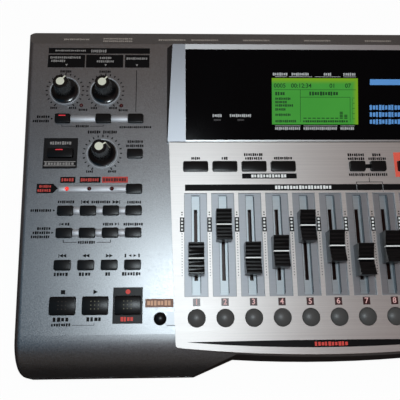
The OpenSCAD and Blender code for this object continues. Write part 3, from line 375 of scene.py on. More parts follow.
# Colour, roughness, effect, its scale and spread, then bump, metallic, specular and coat where they are used
RECIPES = {
    "case_paint": ((170, 172, 174), 0.44, "metal_flake", 1300, 0.85, 0.10, 1.0),
    "panel_silver": ((238, 234, 231), 0.57, "brushed_lines", 0.7, 0.24, 0.10, 0.88),
    "housing_silver": ((214, 214, 214), 0.48, "metal_flake", 2600, 0.15, 0.08, 0.9),
    "bar_silver": ((226, 228, 232), 0.64, "brushed_lines", 1.0, 0.14, 0.05, 0.9),
    "window_black": ((5, 5, 6), 0.12, "moulded_grain", 3000, 0.2, 0.0, 0.0, 0.06),
    "plate_black": ((16, 15, 16), 0.45, "moulded_grain", 3500, 0.25, 0.05, 0.0, 0.3),
    "knob_black": ((7, 7, 9), 0.24, "moulded_grain", 4000, 0.3, 0.04, 0.0, 0.5, 0.3),
    "cap_black": ((9, 9, 10), 0.30, "moulded_grain", 4500, 0.3, 0.08, 0.0, 0.3),
    "key_black": ((12, 12, 13), 0.33, "moulded_grain", 4500, 0.3, 0.06, 0.0, 0.28),
    "track_grey": ((74, 73, 72), 0.40, "moulded_grain", 4000, 0.2, 0.08, 0.1, 0.45),
    "socket_black": ((24, 24, 26), 0.4, "moulded_grain", 4000, 0.25, 0.08),
    "base_steel": ((70, 71, 74), 0.45, "metal_flake", 1800, 0.3, 0.15, 0.7),
    "board_green": ((24, 82, 46), 0.5, "moulded_grain", 3000, 0.25, 0.05),
    "track_brown": ((60, 34, 28), 0.5, "moulded_grain", 2500, 0.3, 0.05),
    "inner_steel": ((120, 116, 114), 0.4, "brushed_lines", 1.0, 0.2, 0.05, 0.8),
    "disk_alloy": ((170, 172, 176), 0.38, "metal_flake", 2200, 0.2, 0.1, 0.85),
    "foot_rubber": ((18, 18, 18), 0.8, "moulded_grain", 2500, 0.3, 0.3, 0.0, 0.2),
    "screw_steel": ((150, 150, 152), 0.3, "metal_flake", 3000, 0.2, 0.05, 0.95),
    "ink_black": ((11, 10, 11), 0.5, "moulded_grain", 3000, 0.2, 0.0, 0.0, 0.14),
    "ink_dim": ((150, 140, 132), 0.5, "moulded_grain", 3000, 0.2, 0.0, 0.0, 0.25),
    # The rim colour is painted shadow along the edges of the fader troughs.
    "ink_rim": ((52, 56, 62), 0.5, "moulded_grain", 3000, 0.2, 0.0, 0.0, 0.25),
    "ink_slit": ((40, 34, 34), 0.4, "moulded_grain", 3000, 0.1, 0.0, 0.0, 0.25),
    "badge_red": ((52, 16, 18), 0.34, "moulded_grain", 3000, 0.2, 0.0, 0.0, 0.55),
    "tag_brown": ((122, 84, 66), 0.45, "moulded_grain", 3000, 0.2, 0.0, 0.0, 0.3),
    "screen_ink": ((16, 64, 22), 0.5, "moulded_grain", 3000, 0.1, 0.0, 0.0, 0.2),
    "cap_ivory": ((206, 204, 186), 0.45, "moulded_grain", 3500, 0.12, 0.05, 0.0, 0.4),
}
INK_RECIPE = (0.5, "moulded_grain", 3000, 0.1, 0.0, 0.0, 0.25)
INK_COLOURS = {
    "ink_white": (226, 226, 224), "ink_grey": (128, 124, 122), "ink_pale": (170, 170, 170),
    "ink_line": (150, 150, 152), "ink_rose": (226, 176, 172), "ink_tan": (206, 160, 130),
    # The two dimple colours are painted shade and painted sheen in the hollows of the key dimples.
    "ink_coral": (226, 92, 74), "ink_brick": (176, 62, 56), "dimple_dim": (52, 44, 40),
    "dimple_pale": (104, 102, 86), "ink_red": (206, 66, 58), "ink_blue": (92, 150, 214),
}
FINISH = {name: finish(name, srgb(*colour), *recipe) for name, (colour, *recipe) in RECIPES.items()}
FINISH |= {name: finish(name, srgb(*colour), *INK_RECIPE) for name, colour in INK_COLOURS.items()}
print("finishes:", len(FINISH))

# %% [markdown]
# Five finishes need more. The mixer panel is greyer inside its fader channels and on the tongues beside it,
# so its colour is mixed by the height above its face, which a dot product with the face's normal gives.
# The lighter floors of the troughs are a painted sheen, and the darker steep walls are painted shade.
# The display housing is greyer beside the window, with painted shade on its steep sides. The screen glows
# green with a yellower band at its upper and right edges. Of the five lamps only the first mode lamp is lit,
# and two keys have a lit line.

# %% Panel channels, screen glow and lamps
PANEL_FRONT_V, PANEL_FRONT_WIDE, PANEL_REAR_WIDE = -51.1, 208.6, 219.4
PANEL_TAPER = (PANEL_REAR_WIDE - PANEL_FRONT_WIDE) / 2 / (SEAM_V - PANEL_FRONT_V)
PANEL_SPREAD = 0.55
CHANNEL_W, TROUGH_W = -0.4, -4.0
# The trough grey is a painted sheen, and the wall grey is painted shade.
CHANNEL_GREY, TROUGH_SHEEN_GREY, WALL_SHADE_GREY = srgb(180, 183, 188), srgb(204, 212, 216), srgb(104, 112, 118)
# The side brown is painted shade for the display housing's steep sides.
TONGUE_SILVER, STRIP_GREY, SIDE_SHADE_BROWN = srgb(222, 226, 230), srgb(158, 160, 165), srgb(58, 50, 46)
SCREEN_LOW, SCREEN_RIGHT = 13.1, 0.0353
LIT_LAMP, LAMP_REACH = (-184.9, 68.2, DECK), (0.004, 0.0038)


def height_over(tree, normal, point):
    """Distance of the surface from a plane through the point, in metres: (place - point) . normal."""
    where = tree.nodes.new("ShaderNodeTexCoord")
    less = tree.nodes.new("ShaderNodeVectorMath")
    less.operation = "SUBTRACT"
    less.inputs[1].default_value = point
    dot = tree.nodes.new("ShaderNodeVectorMath")
    dot.operation = "DOT_PRODUCT"
    dot.inputs[1].default_value = normal
    tree.links.new(where.outputs["Object"], less.inputs[0])
    tree.links.new(less.outputs[0], dot.inputs[0])
    return dot.outputs["Value"]


def ramp(tree, value, low, high):
    """Zero below low, one above high, eased in between."""
    node = tree.nodes.new("ShaderNodeMapRange")
    node.interpolation_type = "SMOOTHSTEP"
    node.inputs["From Min"].default_value = low
    node.inputs["From Max"].default_value = high
    tree.links.new(value, node.inputs["Value"])
    return node.outputs["Result"]


def blend_colour(tree, factor, a, b):
    """Mix of two colours, each a value or a socket."""
    node = tree.nodes.new("ShaderNodeMix")
    node.data_type = "RGBA"
    tree.links.new(factor, node.inputs["Factor"])
    for socket, value in ((node.inputs["A"], a), (node.inputs["B"], b)):
        if isinstance(value, tuple):
            socket.default_value = value
        else:
            tree.links.new(value, socket)
    return node.outputs["Result"]


def direction(place, axis):
    """Unit vector along one axis of the panel's or the display's frame, in the model's frame."""
    step = place(np.eye(3)[axis]) - place(np.zeros(3))
    return tuple((step / np.linalg.norm(step)).tolist())


def sideways(tree, kind, output):
    """Size of the X of a vector that a new node of this kind gives."""
    start = tree.nodes.new(kind)
    parts = tree.nodes.new("ShaderNodeSeparateXYZ")
    tree.links.new(start.outputs[output], parts.inputs[0])
    return sums(tree, "ABSOLUTE", parts.outputs["X"], 0.0)


def steepness(tree):
    """How far the surface faces sideways."""
    return sideways(tree, "ShaderNodeNewGeometry", "Normal")


def side_place(tree):
    """Distance from the middle plane of the recorder, in metres."""
    return sideways(tree, "ShaderNodeTexCoord", "Object")


def dress_mixer_panel(mat):
    """Brushed along X, so its gloss spreads up the slope; grey channels, duller tongues, painted sheen on
    trough floors, painted shade on steep walls.
    """
    tree = mat.node_tree
    bsdf = tree.nodes["Principled BSDF"]
    bsdf.inputs["Anisotropic"].default_value = PANEL_SPREAD
    grain = tree.nodes.new("ShaderNodeCombineXYZ")
    grain.inputs["Y"].default_value, grain.inputs["Z"].default_value = math.cos(SLOPE), math.sin(SLOPE)
    tree.links.new(grain.outputs[0], bsdf.inputs["Tangent"])
    tint = tree.nodes["tint"]
    plate = tuple(tint.inputs["A"].default_value)
    out = direction(on_panel, 2)
    raised = ramp(tree, height_over(tree, out, tuple(on_panel([0, 0, CHANNEL_W]))), -0.0006, -0.0002)
    # Deep trough floors take a painted sheen, and steep walls take painted shade.
    shallow = ramp(tree, height_over(tree, out, tuple(on_panel([0, 0, TROUGH_W]))), -0.0002, 0.0002)
    painted_wall_shade = ramp(tree, steepness(tree), 0.5, 0.7)
    sunk = blend_colour(tree, painted_wall_shade, blend_colour(tree, shallow, TROUGH_SHEEN_GREY, CHANNEL_GREY), WALL_SHADE_GREY)
    up = height_over(tree, direction(on_panel, 1), tuple(on_panel([0, PANEL_FRONT_V, 0])))
    beside = ramp(tree, sums(tree, "MULTIPLY_ADD", up, -PANEL_TAPER, side_place(tree)), 0.1045, 0.1048)
    face = blend_colour(tree, beside, plate, TONGUE_SILVER)
    tree.links.new(blend_colour(tree, raised, sunk, face), tint.inputs["A"])


def dress_housing(mat):
    """Paler along the top of the display, greyer beside it, and painted dark brown shade on the steep sides.
    """
    tree = mat.node_tree
    tint = tree.nodes["tint"]
    top = tuple(tint.inputs["A"].default_value)
    strip = blend_colour(tree, ramp(tree, side_place(tree), 0.0968, 0.0974), top, STRIP_GREY)
    # The dark brown on the steep sides is painted shade.
    painted_wall_shade = ramp(tree, steepness(tree), 0.6, 0.8)
    tree.links.new(blend_colour(tree, painted_wall_shade, strip, SIDE_SHADE_BROWN), tint.inputs["A"])


dress_mixer_panel(FINISH["panel_silver"])
dress_housing(FINISH["housing_silver"])


def screen_material():
    """Backlit green: base green, towards yellow-green along the upper edge and at the right edge."""
    mat = finish("screen_green", srgb(20, 46, 18), 0.3, "moulded_grain", 4000, 0.1, 0.0, 0.0, 0.1)
    tree = mat.node_tree
    bsdf = tree.nodes["Principled BSDF"]
    up = height_over(tree, direction(on_display, 1), tuple(on_display([0, SCREEN_LOW, 0])))
    right = height_over(tree, (1.0, 0.0, 0.0), (SCREEN_RIGHT, 0.0, 0.0))
    edge = sums(tree, "MAXIMUM", ramp(tree, up, 0.0305, 0.0352), ramp(tree, right, -0.0052, 0.0))
    slow = noise(tree, tree.nodes["Texture Coordinate"].outputs["Object"], 40.0)
    cool = blend_colour(tree, slow, srgb(56, 142, 50), srgb(72, 158, 60))
    tree.links.new(blend_colour(tree, edge, cool, srgb(120, 164, 26)), bsdf.inputs["Emission Color"])
    bsdf.inputs["Emission Strength"].default_value = 0.85
    return mat


def lamp_material():
    """Dark red lens; glows where it is within 4 mm of the lit lamp."""
    mat = finish("lamp_red", srgb(70, 18, 16), 0.25, "moulded_grain", 4000, 0.2, 0.0, 0.0, 0.5)
    tree = mat.node_tree
    bsdf = tree.nodes["Principled BSDF"]
    distance = tree.nodes.new("ShaderNodeVectorMath")
    distance.operation = "DISTANCE"
    distance.inputs[1].default_value = tuple(on_panel(LIT_LAMP))
    tree.links.new(tree.nodes["Texture Coordinate"].outputs["Object"], distance.inputs[0])
    lit = ramp(tree, distance.outputs["Value"], *LAMP_REACH)
    tree.links.new(blend_colour(tree, lit, srgb(0, 0, 0), srgb(255, 64, 56)), bsdf.inputs["Emission Color"])
    bsdf.inputs["Emission Strength"].default_value = 1.0
    return mat


def glow_material(name, colour, strength):
    """A small lit line: a red lens with its own light, a little uneven along its length."""
    mat = finish(name, colour, 0.3, "moulded_grain", 3000, 0.2)
    bsdf = mat.node_tree.nodes["Principled BSDF"]
    mat.node_tree.links.new(mat.node_tree.nodes["tint"].outputs["Result"], bsdf.inputs["Emission Color"])
    bsdf.inputs["Emission Strength"].default_value = strength
    return mat


FINISH["screen_green"] = screen_material()
FINISH["lamp_red"] = lamp_material()
FINISH["line_red"] = glow_material("line_red", srgb(190, 46, 56), 0.6)
print("special finishes:", "panel_silver, housing_silver, screen_green, lamp_red, line_red")

# %% [markdown]
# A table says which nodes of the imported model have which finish. A node that isn't in it is a key of black
# plastic.

# %% Give every node its finish
DRESS = {
    "case_paint": ["upper_case"],
    "panel_silver": ["mixer_panel"],
    "housing_silver": ["display_housing"],
    "bar_silver": ["panel_bars"],
    "window_black": ["display_window"],
    "screen_green": ["lcd_module"],
    "plate_black": ["key_plates", "rear_plate"],
    "lamp_red": ["panel_lamps"],
    "knob_black": ["sens_knob_1", "sens_knob_2", "input_level_knob", "value_dial"],
    "cap_black": [f"fader_{i}" for i in range(1, 11)],
    "track_grey": [f"track_key_{i}" for i in range(1, 11)],
    "socket_black": ["phone_jacks", "midi_sockets", "dc_inlet", "power_switch"],
    "base_steel": ["bottom_plate"],
    "board_green": ["panel_boards", "main_board"],
    "track_brown": ["fader_tracks"],
    "inner_steel": ["rotary_pots"],
    "disk_alloy": ["hard_disk"],
    "foot_rubber": ["feet"],
    "screw_steel": ["case_screws"],
}
dressed = {n: s for s, names in DRESS.items() for n in names}
for name, node in nodes.items():
    coat = FINISH[dressed.get(name, "key_black")]
    node.data.materials.clear()
    node.data.materials.append(coat)
print("keys:", sum(n not in dressed for n in nodes), "other nodes:", len(dressed))

# %% [markdown]
# Moulded keys and caps have softened edges that catch the light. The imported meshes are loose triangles,
# so a Weld modifier joins them first and a Bevel modifier then rounds the sharp edges.

# %% Soften edges
WELD_GAP, SHARP = 1e-6, math.radians(40.0)


def soften(name, width, segments):
    """Weld, then a bevel of the given width in mm on sharp edges."""
    node = nodes[name]
    weld = node.modifiers.new("join_triangles", "WELD")
    weld.merge_threshold = WELD_GAP
    bevel = node.modifiers.new("soft_edges", "BEVEL")
    bevel.width, bevel.segments = width / 1000, segments
    bevel.limit_method, bevel.angle_limit = "ANGLE", SHARP


SOFT = [(name, 0.6, 3) for name in nodes if name not in dressed]
SOFT += [(name, 0.16, 1) for name in DRESS["cap_black"]]
SOFT += [(name, 0.2, 2) for name in ("panel_bars", "key_plates", "power_switch")]
for item in SOFT:
    soften(*item)
print("softened:", len(SOFT))

# %% [markdown]
# Printed marks are thin plates of ink. A plate is a flat outline with a top, a bottom and a rim, so the
# mesh is closed. All marks of one ink on one surface are one piece: outlines are gathered as arrays and
# joined, with the rows of each array offset by the count before it.

# %% Ink plates
INK = 0.05
SKIP_SIZE, SKIP_STEP, SKIP_END = 2.7, 1.2, 2.75


def plates(outlines, place, low):
    """Prisms over flat outlines: each outline's points at height low and low + INK, two caps and a rim."""
    verts, faces, start = [], [], 0
    for flat in outlines:
        flat = np.asarray(flat, float)
        x, y = flat[:, 0], flat[:, 1]
        if np.sum(x * np.roll(y, -1) - y * np.roll(x, -1)) < 0:
            flat = flat[::-1]
        n = len(flat)
        verts += [np.column_stack([flat, np.full(n, low)]), np.column_stack([flat, np.full(n, low + INK)])]
        a = np.arange(n)
        b = np.roll(a, -1)
        faces += [(start + a[::-1]).tolist(), (start + n + a).tolist()]
        faces += (start + np.column_stack([a, b, b + n, a + n])).tolist()
        start += 2 * n
    return place(np.concatenate(verts)), faces


def add_piece(name, verts, faces, ink, body="case"):
    """A new mesh piece with its place in its vertices, which rides on a body of the model."""
    mesh = bpy.data.meshes.new(name)
    mesh.from_pydata(np.asarray(verts).tolist(), [], faces)
    mesh.materials.append(FINISH[ink])
    mesh.validate()
    obj = bpy.data.objects.new(name, mesh)
    bpy.context.scene.collection.objects.link(obj)
    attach(obj, body)
    return obj


def print_marks(name, outlines, place, low, ink, body="case"):
    """One printed piece: plates of ink over the outlines."""
    return add_piece(name, *plates(outlines, place, low), ink, body)


def box(u0, u1, v0, v1):
    """Outline of a rectangle."""
    return np.array([[u0, v0], [u1, v0], [u1, v1], [u0, v1]])


def boxes(items):
    """Outlines of several rectangles."""
    return [box(*item) for item in items]


def words(u0, u1, v, height=1.9, pitch=1.55):
    """A plain row of short bars beside a control; their widths and heights vary by slow waves."""
    n = max(int(round((u1 - u0) / pitch)), 1)
    step = (u1 - u0) / n
    k = np.arange(n)
    wide = step * (0.72 + 0.1 * np.sin(2.4 * k + u0))
    left = u0 + k * step
    tall = height * (1.04 + 0.14 * np.cos(1.7 * k + v))
    return [box(a, a + w, v - h / 2, v + h / 2) for a, w, h in zip(left, wide, tall)]


def rows(items, *sizes):
    """Rows of bars at several places; an item is what words takes, and sizes are added to every item."""
    return [bar for item in items for bar in words(*item, *sizes)]


def arrow(u, v, size, way):
    """A triangle that points along way: r, l, u or d."""
    shape = np.array([[-0.5, -0.5], [0.5, 0.0], [-0.5, 0.5]]) * size
    c, s = {"r": (1, 0), "l": (-1, 0), "u": (0, 1), "d": (0, -1)}[way]
    return shape @ np.array([[c, s], [-s, c]]) + (u, v)


def disc(u, v, r, n=24):
    """Outline of a circle: cosine and sine of n even angles."""
    t = np.arange(n) * 2 * math.pi / n
    return np.column_stack([u + r * np.cos(t), v + r * np.sin(t)])


def skip(u, v, way, bar=True):
    """Two arrows, with a bar beyond their tips where the mark means a jump to the end."""
    marks = [arrow(u + side * SKIP_STEP, v, SKIP_SIZE, way) for side in (-1, 1)]
    if bar:
        end = u + (SKIP_END if way == "r" else -SKIP_END)
        marks.append(box(end - 0.25, end + 0.25, v - SKIP_SIZE / 2, v + SKIP_SIZE / 2))
    return marks


def frame_lines(u0, u1, v0, v1, line=0.35):
    """Four bars round a rectangle."""
    return [box(u0, u1, v0, v0 + line), box(u0, u1, v1 - line, v1),
            box(u0, u0 + line, v0, v1), box(u1 - line, u1, v0, v1)]


print("a word of 12 mm has", len(words(0, 12, 0)), "bars")

# %% [markdown]
# Plain numbers are the only lettering on the recorder. Blender's own font makes their outlines: the text
# object is turned into a mesh, vertices at one place are joined so that it is closed, and the result is
# then placed like any other ink.

# %% Numbers


def numbers(items, place, low):
    """Closed mesh of several numbers; items are (text, u, v, height), each centred on u and v."""
    verts, faces, start = [], [], 0
    for text, u, v, height in items:
        curve = bpy.data.curves.new("figures", "FONT")
        curve.body, curve.align_x, curve.align_y = text, "CENTER", "CENTER"
        curve.size, curve.offset, curve.resolution_u = height * 1.4, height * 0.02, 3
        curve.extrude = INK / 2
        holder = bpy.data.objects.new("figures", curve)
        bpy.context.scene.collection.objects.link(holder)
        solid = bpy.data.meshes.new_from_object(holder.evaluated_get(bpy.context.evaluated_depsgraph_get()))
        co = np.zeros(3 * len(solid.vertices))
        solid.vertices.foreach_get("co", co)
        joined, index = np.unique(np.round(co.reshape(-1, 3), 5), axis=0, return_inverse=True)
        index = start + index.ravel()
        verts.append(joined + (u, v, low + INK / 2))
        faces += [index[list(p.vertices)].tolist() for p in solid.polygons]
        start += len(joined)
        bpy.data.objects.remove(holder)
        bpy.data.curves.remove(curve)
        bpy.data.meshes.remove(solid)
    return place(np.concatenate(verts)), faces


print("numbers are made from Blender's own font")

# %% [markdown]
# Marks on the deck: black label boxes behind the knobs, tick rings, rows of bars, brackets under key rows,
# and the usual transport symbols. All places were read from the photograph.

# %% Deck marks
COLS = [-185.3, -168.7, -152.1, -135.5]
SENS = [(-190.8, 147.7), (-159.6, 147.4)]
LEVEL = (-160.0, 95.9)
TRANSPORT = [-183.7, -160.95, -138.2]
TICK_HALF, TICK_LONG, TICK_WIDE = 0.8, 1.0, 0.46
RING_R, RING_UP = 14.1, 0.3


def tick_ring(u, v, r, n=21, reach=150.0):
    """Short radial bars on a circle, from -reach to reach degrees about straight up; each tenth is longer."""
    t = np.radians(np.linspace(-reach, reach, n))
    along = np.column_stack([np.sin(t), np.cos(t)])
    across = TICK_WIDE * np.column_stack([np.cos(t), -np.sin(t)])
    half = np.where(np.arange(n) % 10 == 0, TICK_LONG, TICK_HALF)[:, None] * along
    mid = np.array([u, v]) + r * along
    low, high = mid - half, mid + half
    return list(np.stack([low - across, low + across, high + across, high - across], 1))


black = [tick for u, v in (*SENS, LEVEL) for tick in tick_ring(u, v + RING_UP, RING_R)]
# Label boxes behind the knobs, and the line down from the third
black += boxes(((-205.5, -125.3, 180.3, 185.2), (-205.6, -176.5, 168.0, 179.2),
                (-175.6, -146.3, 168.0, 179.2), (-144.9, -125.5, 168.0, 179.2),
                (-135.75, -135.25, 130.3, 165.6)))
# Bars round the knobs
black += rows(((-195.3, -186.2, 164.5), (-164.7, -155.4, 164.4)))
black += rows(((-171.6, -161.6, 113.4), (-160.0, -149.1, 113.4)), 2.2)
black += rows(((-201.2, -196, 133.4), (-187, -181.1, 133.4), (-170.2, -165.2, 133.3), (-156.1, -149.8, 133.3),
               (-179.5, -172.4, 131.8), (-148.7, -141.4, 131.5), (-171.5, -166.1, 81.8),
               (-155.2, -148.7, 81.8)), 1.6, 1.4)
# Select row and tuner key
black += rows(((-211, -201.1, 126), (-213.9, -201.1, 122.4), (-181.1, -170.8, 118.2, 1.7),
               (-147.7, -123.2, 117.4, 1.6), (-141.2, -129.4, 105.6), (-142.2, -128.8, 102.2)))
black += boxes(((-191.8, -181.6, 118.0, 118.35), (-170.4, -159.9, 118.0, 118.35),
                (-191.8, -191.4, 118.0, 119.4), (-160.3, -159.9, 118.0, 119.4)))
# Mode row
black += [np.array([[-207.4, 65.1], [-195.3, 65.1], [-191.8, 68.75], [-195.3, 72.4], [-207.4, 72.4]])]
black += boxes(((-190.4, -179.2, 73.0, 77.7), (-176.0, -160.5, 73.0, 77.7)))
# Marker row
black += rows(((-210.6, -195.2, 52), (-191.1, -179, 58.4), (-166.6, -152.4, 58.2), (-140.4, -129.8, 58)))
black += skip(-171.1, 58.3, "l") + skip(-148.6, 58.2, "r")
# Punch row
black += rows(((-204.9, -195.1, 38.5), (-207.9, -195.1, 35.4), (-209, -195.3, 32.4), (-185, -181.4, 41.7),
               (-157.6, -149.9, 41.5), (-142.7, -128.3, 41.4), (-175.1, -162.3, 28.2)))
black += boxes(((-188.9, -188.4, 40.7, 42.7), (-146.7, -146.2, 40.6, 42.6), (-185.9, -185.4, 28.2, 30.3),
                (-185.9, -176, 28.1, 28.5), (-161.6, -151.4, 28.0, 28.4), (-151.9, -151.4, 28.1, 30.2)))
# Locate row
black += skip(-185.4, 18.6, "l") + skip(-168.9, 18.5, "l", False) + skip(-152.1, 18.4, "r", False)
black += rows(((-141.3, -139.8, 18.4), (-131.5, -130, 18.4)), 2.2)
black += rows(((-190.9, -180.8, 5.3), (-173.3, -164.6, 5.3), (-154.6, -150.6, 5.3), (-142.8, -129.1, 5.3)),
              2.2, 2.0)
# Transport row
black += rows(((-189.8, -178.2, -26), (-166.6, -155.7, -26)), 2.6, 2.6)
black += words(-190.7, -177.2, -29.6, 1.8, 1.7)
black += boxes(((-185.3, -182.2, -8.7, -5.7), (-176.5, -161.2, -30.1, -29.8), (-161.4, -161.0, -30.1, -28.7)))
# Arrows of the rows, from the select row down
black += [arrow(*item) for item in (
    (-199.4, 124.4, 1.7, "r"), (-193.5, 52, 1.6, "r"), (-193.7, 35.4, 1.6, "r"), (-187.2, 41.7, 2.1, "l"),
    (-148, 41.6, 2.1, "r"), (-137.4, 18.4, 2.0, "l"), (-133.9, 18.4, 2.0, "r"), (-160.9, -7.2, 3.2, "r"))]
print_marks("deck_marks_black", black, on_panel, DECK, "ink_black")

light = rows(((-200.2, -175.7, 182.8, 1.2), (-171.9, -159.6, 182.5, 2.2)))
light += rows(((-203.9, -179.8, 176.7), (-203, -191.6, 173.7), (-164.8, -155.2, 176.4),
               (-167.2, -153.4, 173.4), (-143.7, -126.8, 176)), 1.7)
light += [arrow(u, 170, 1.9, "d") for u in (-190.8, -160.1, -135.4)]
print_marks("deck_marks_light", light, on_panel, DECK + INK, "ink_grey")

red = [box(-159.5, -140.2, 73.0, 77.7)] + rows(((-189.4, -180.2, 75.4), (-175.2, -161.4, 75.3)), 2.2, 1.8)
red += rows(((-205.4, -196.6, 70.3), (-206.6, -196.6, 67.2)), 1.8)
print_marks("deck_marks_red", red, on_panel, DECK + INK, "ink_brick")
print_marks("master_tag_marks", words(-158.6, -141.0, 75.3, 2.3, 1.9), on_panel, DECK + 2 * INK, "badge_red")
print("deck marks:", len(black), "black,", len(light), "light,", len(red), "red")

# %% [markdown]
# A few marks sit on raised or sloping places: on the dark plates round the record key and the effects key, on
# the tag by the take key, and along the rear bevel, which slopes down at 20 degrees.

# %% Raised deck marks
PLATE = DECK + 0.5
BEVEL_V, BEVEL = 189.05, math.radians(20.0)


def on_bevel(points):
    """Panel coordinates for marks on the rear bevel: v runs down the bevel from its upper edge."""
    u, v, w = np.moveaxis(np.asarray(points, float), -1, 0)
    run, rise = v - BEVEL_V, w - DECK
    c, k = math.cos(BEVEL), math.sin(BEVEL)
    return on_panel(np.stack([u, BEVEL_V + run * c + rise * k, DECK - run * k + rise * c], -1))


rear = rows(((-194.4, -173.6, 194.4, 1.7), (-163, -139.4, 195.4, 1.5), (-163, -139.4, 192.4, 1.5)))
rear += rows([(u0, u0 + 22, 194.2) for u0 in (-118.5, -92, -50, 0, 50, 100, 150)], 1.6)
print_marks("rear_marks", rear, on_bevel, DECK, "ink_dim")
plate_red = [disc(-138.2, -7.3, 1.7)] + words(-142.9, -133.8, -26.1, 2.7, 2.4)
print_marks("record_marks", plate_red, on_panel, PLATE, "ink_red")
plate_light = rows(((-199.5, -183.3, 104.3, 2.2, 1.8), (-202.4, -180.6, 87.8, 1.9, 2.2)))
plate_light += boxes(((-203.3, -179.7, 85.9, 86.5), (-203.3, -179.7, 89.2, 89.8)))
print_marks("effects_marks", plate_light, on_panel, PLATE, "ink_grey")
print_marks("take_tag", [box(-126.0, -106.2, -18.3, -12.4)], on_panel, DECK, "tag_brown")
print_marks("take_tag_marks", words(-124.6, -107.6, -15.3, 3.0, 2.6), on_panel, DECK + INK, "ink_tan")
print("raised marks:", len(rear), "on the bevel,", len(plate_light), "on the effects plate")

# %% [markdown]
# Marks on the right side of the deck, which the photograph cuts off, follow the left side: plain bars over
# the edit keys, arrows round the cursor keys, and a ring of ticks round the value dial.

# %% Right deck marks
CURSOR_U, CURSOR_V, DIAL = 160.0, 66.0, (160.0, 12.0)
right = [arrow(CURSOR_U + du, CURSOR_V + dv, 2.4, way)
         for du, dv, way in ((-25, 0, "l"), (25, 0, "r"), (0, 18.5, "u"), (0, -18.5, "d"))]
right += rows([(-u - 5, -u + 5, v) for u in COLS for v in (130.9, 106.5)])
right += tick_ring(*DIAL, 26.5, 31, 180.0) + words(150, 170, -19.5, 2.2)
print_marks("right_marks", right, on_panel, DECK, "ink_black")
print("right marks:", len(right))

# %% [markdown]
# Marks on the mixer panel: rows of bars, black strips, a fader scale between the channels with a dark block
# of four squares at the working level, red number badges, and a long black crescent at the front. Thin lines
# of painted shadow run along the seam under the display, round the channels and at the rims of the troughs;
# thin lines also show a bracket's arms.

# %% Mixer marks
FADERS = np.arange(10) * 20.0 - 90.0
SCALES = np.append(FADERS, 110.0) - 10.0
CHANNEL_HALF, TROUGH_HALF, RIM_W = 8.45, 3.0, -1.5
BADGE_HALF, BADGE_V = (2.55, 2.65), -15.3
LENS_HALF = 97.0
# The third box links two keys and ends at their openings
black = boxes(((-55.1, -14.1, 75.0, 79.0), (-97.7, 97.7, 65.7, 70.5), (38.25, 42.15, 82.9, 86.1),
               (40.3, 40.7, 72.0, 75.6), (30.3, 50.4, 71.9, 72.3), (30.3, 30.7, 70.5, 72.1),
               (50.0, 50.4, 70.5, 72.1)))
black += rows(((-92.9, -85.9, 91), (-70.1, -65.1, 91), (-53.1, -38.6, 93.9), (-52.3, -39.3, 90.9),
               (-30.5, -16.6, 91), (25.7, 38.8, 93.6), (25.7, 38.8, 90.5), (44.6, 51.2, 93.6),
               (41.4, 55.3, 90.5), (25.5, 55.1, 77.9)), 2.0)
squares = []
for u in SCALES:
    black += [box(u - 1.55, u + 1.55, 34.8, 45.6)]
    black += [box(u - 0.5, u + 0.5, v - 0.4, v + 0.4) for v in (47.5, 49.3)]
    for v, r in zip(33.4 - 2.0 * np.arange(16), [0.36] + [0.3] * 15):
        black += [box(u - r, u + r, v - r, v + r)]
    squares += [box(u - 0.75, u + 0.75, v - 0.7, v + 0.7) for v in (36.5, 39.0, 41.5, 44.0)]
lens_u = np.linspace(-LENS_HALF, LENS_HALF, 61)
lens_top = -42.2 + 0.7 * (1 - (lens_u / LENS_HALF) ** 2)
lens_low = np.minimum(lens_top - 0.02, -46.5 + 4.3 * (lens_u / LENS_HALF) ** 2)
black.append(np.concatenate([np.column_stack([lens_u, lens_low]), np.column_stack([lens_u, lens_top])[::-1]]))
print_marks("mixer_marks_black", black, on_panel, 0.0, "ink_black")
light = squares + rows(((-30.8, 11.9, 68.1, 2.4, 2.2), (-48.2, -21.4, 77.0, 2.2, 2.2)))
print_marks("mixer_marks_light", light, on_panel, INK, "ink_white")
print_marks("mixer_marks_red", words(-8.7, 14.8, -44.2, 2.4, 2.4), on_panel, INK, "ink_red")
red_box = boxes(((60.8, 63.0, 76.0, 95.5), (81.6, 83.8, 76.0, 95.5), (63.0, 81.6, 88.7, 95.5),
                 (63.0, 81.6, 76.0, 80.3)))
print_marks("mixer_red_box", red_box, on_panel, 0.0, "ink_coral")
wide, tall = BADGE_HALF
badges = [box(u - wide, u + wide, BADGE_V - tall, BADGE_V + tall) for u in FADERS]
print_marks("badges", badges, on_panel, 0.0, "badge_red")
figures = [(str(k + 1), u, BADGE_V, 3.9) for k, u in enumerate(FADERS)]
add_piece("badge_numbers", *numbers(figures, on_panel, INK), "ink_rose")
# The black line along the seam under the display is painted shadow of the gap there.
print_marks("seam_shadow_line", [box(-109.4, 109.4, 103.75, 104.3)], on_panel, 0.0, "ink_black")
# Dark lines along both edges of each trough are painted shadow of the trough walls.
rim_shadows = [box(u + a, u + b, -9.0, 61.4) for u in FADERS
        for a, b in ((TROUGH_HALF, TROUGH_HALF + 0.4), (-TROUGH_HALF - 0.2, -TROUGH_HALF))]
print_marks("trough_rim_shadows", rim_shadows, on_panel, RIM_W, "ink_rim")
arms = boxes(((30.35, 30.65, 64.1, 70.5), (50.05, 50.35, 64.1, 70.5)))
print_marks("bracket_arms", arms, on_panel, INK, "ink_line")
# Grey lines round each channel are painted shade at its edges, where the channel walls drop.
lines = [bar for u in FADERS for bar in frame_lines(u - CHANNEL_HALF, u + CHANNEL_HALF, -11.55, 63.95, 0.3)]
print_marks("channel_shade_lines", lines, on_panel, 0.0, "ink_line")
print("mixer marks:", len(black), "black,", len(light), "light,", len(figures), "numbers")

# %% [markdown]
# The display window carries a few pale bars over and under the screen, blue blocks at the right, and two
# slits for small lamps. The screen's own picture is dark liquid crystal on green: a counter, a frame,
# short rows, and level columns.

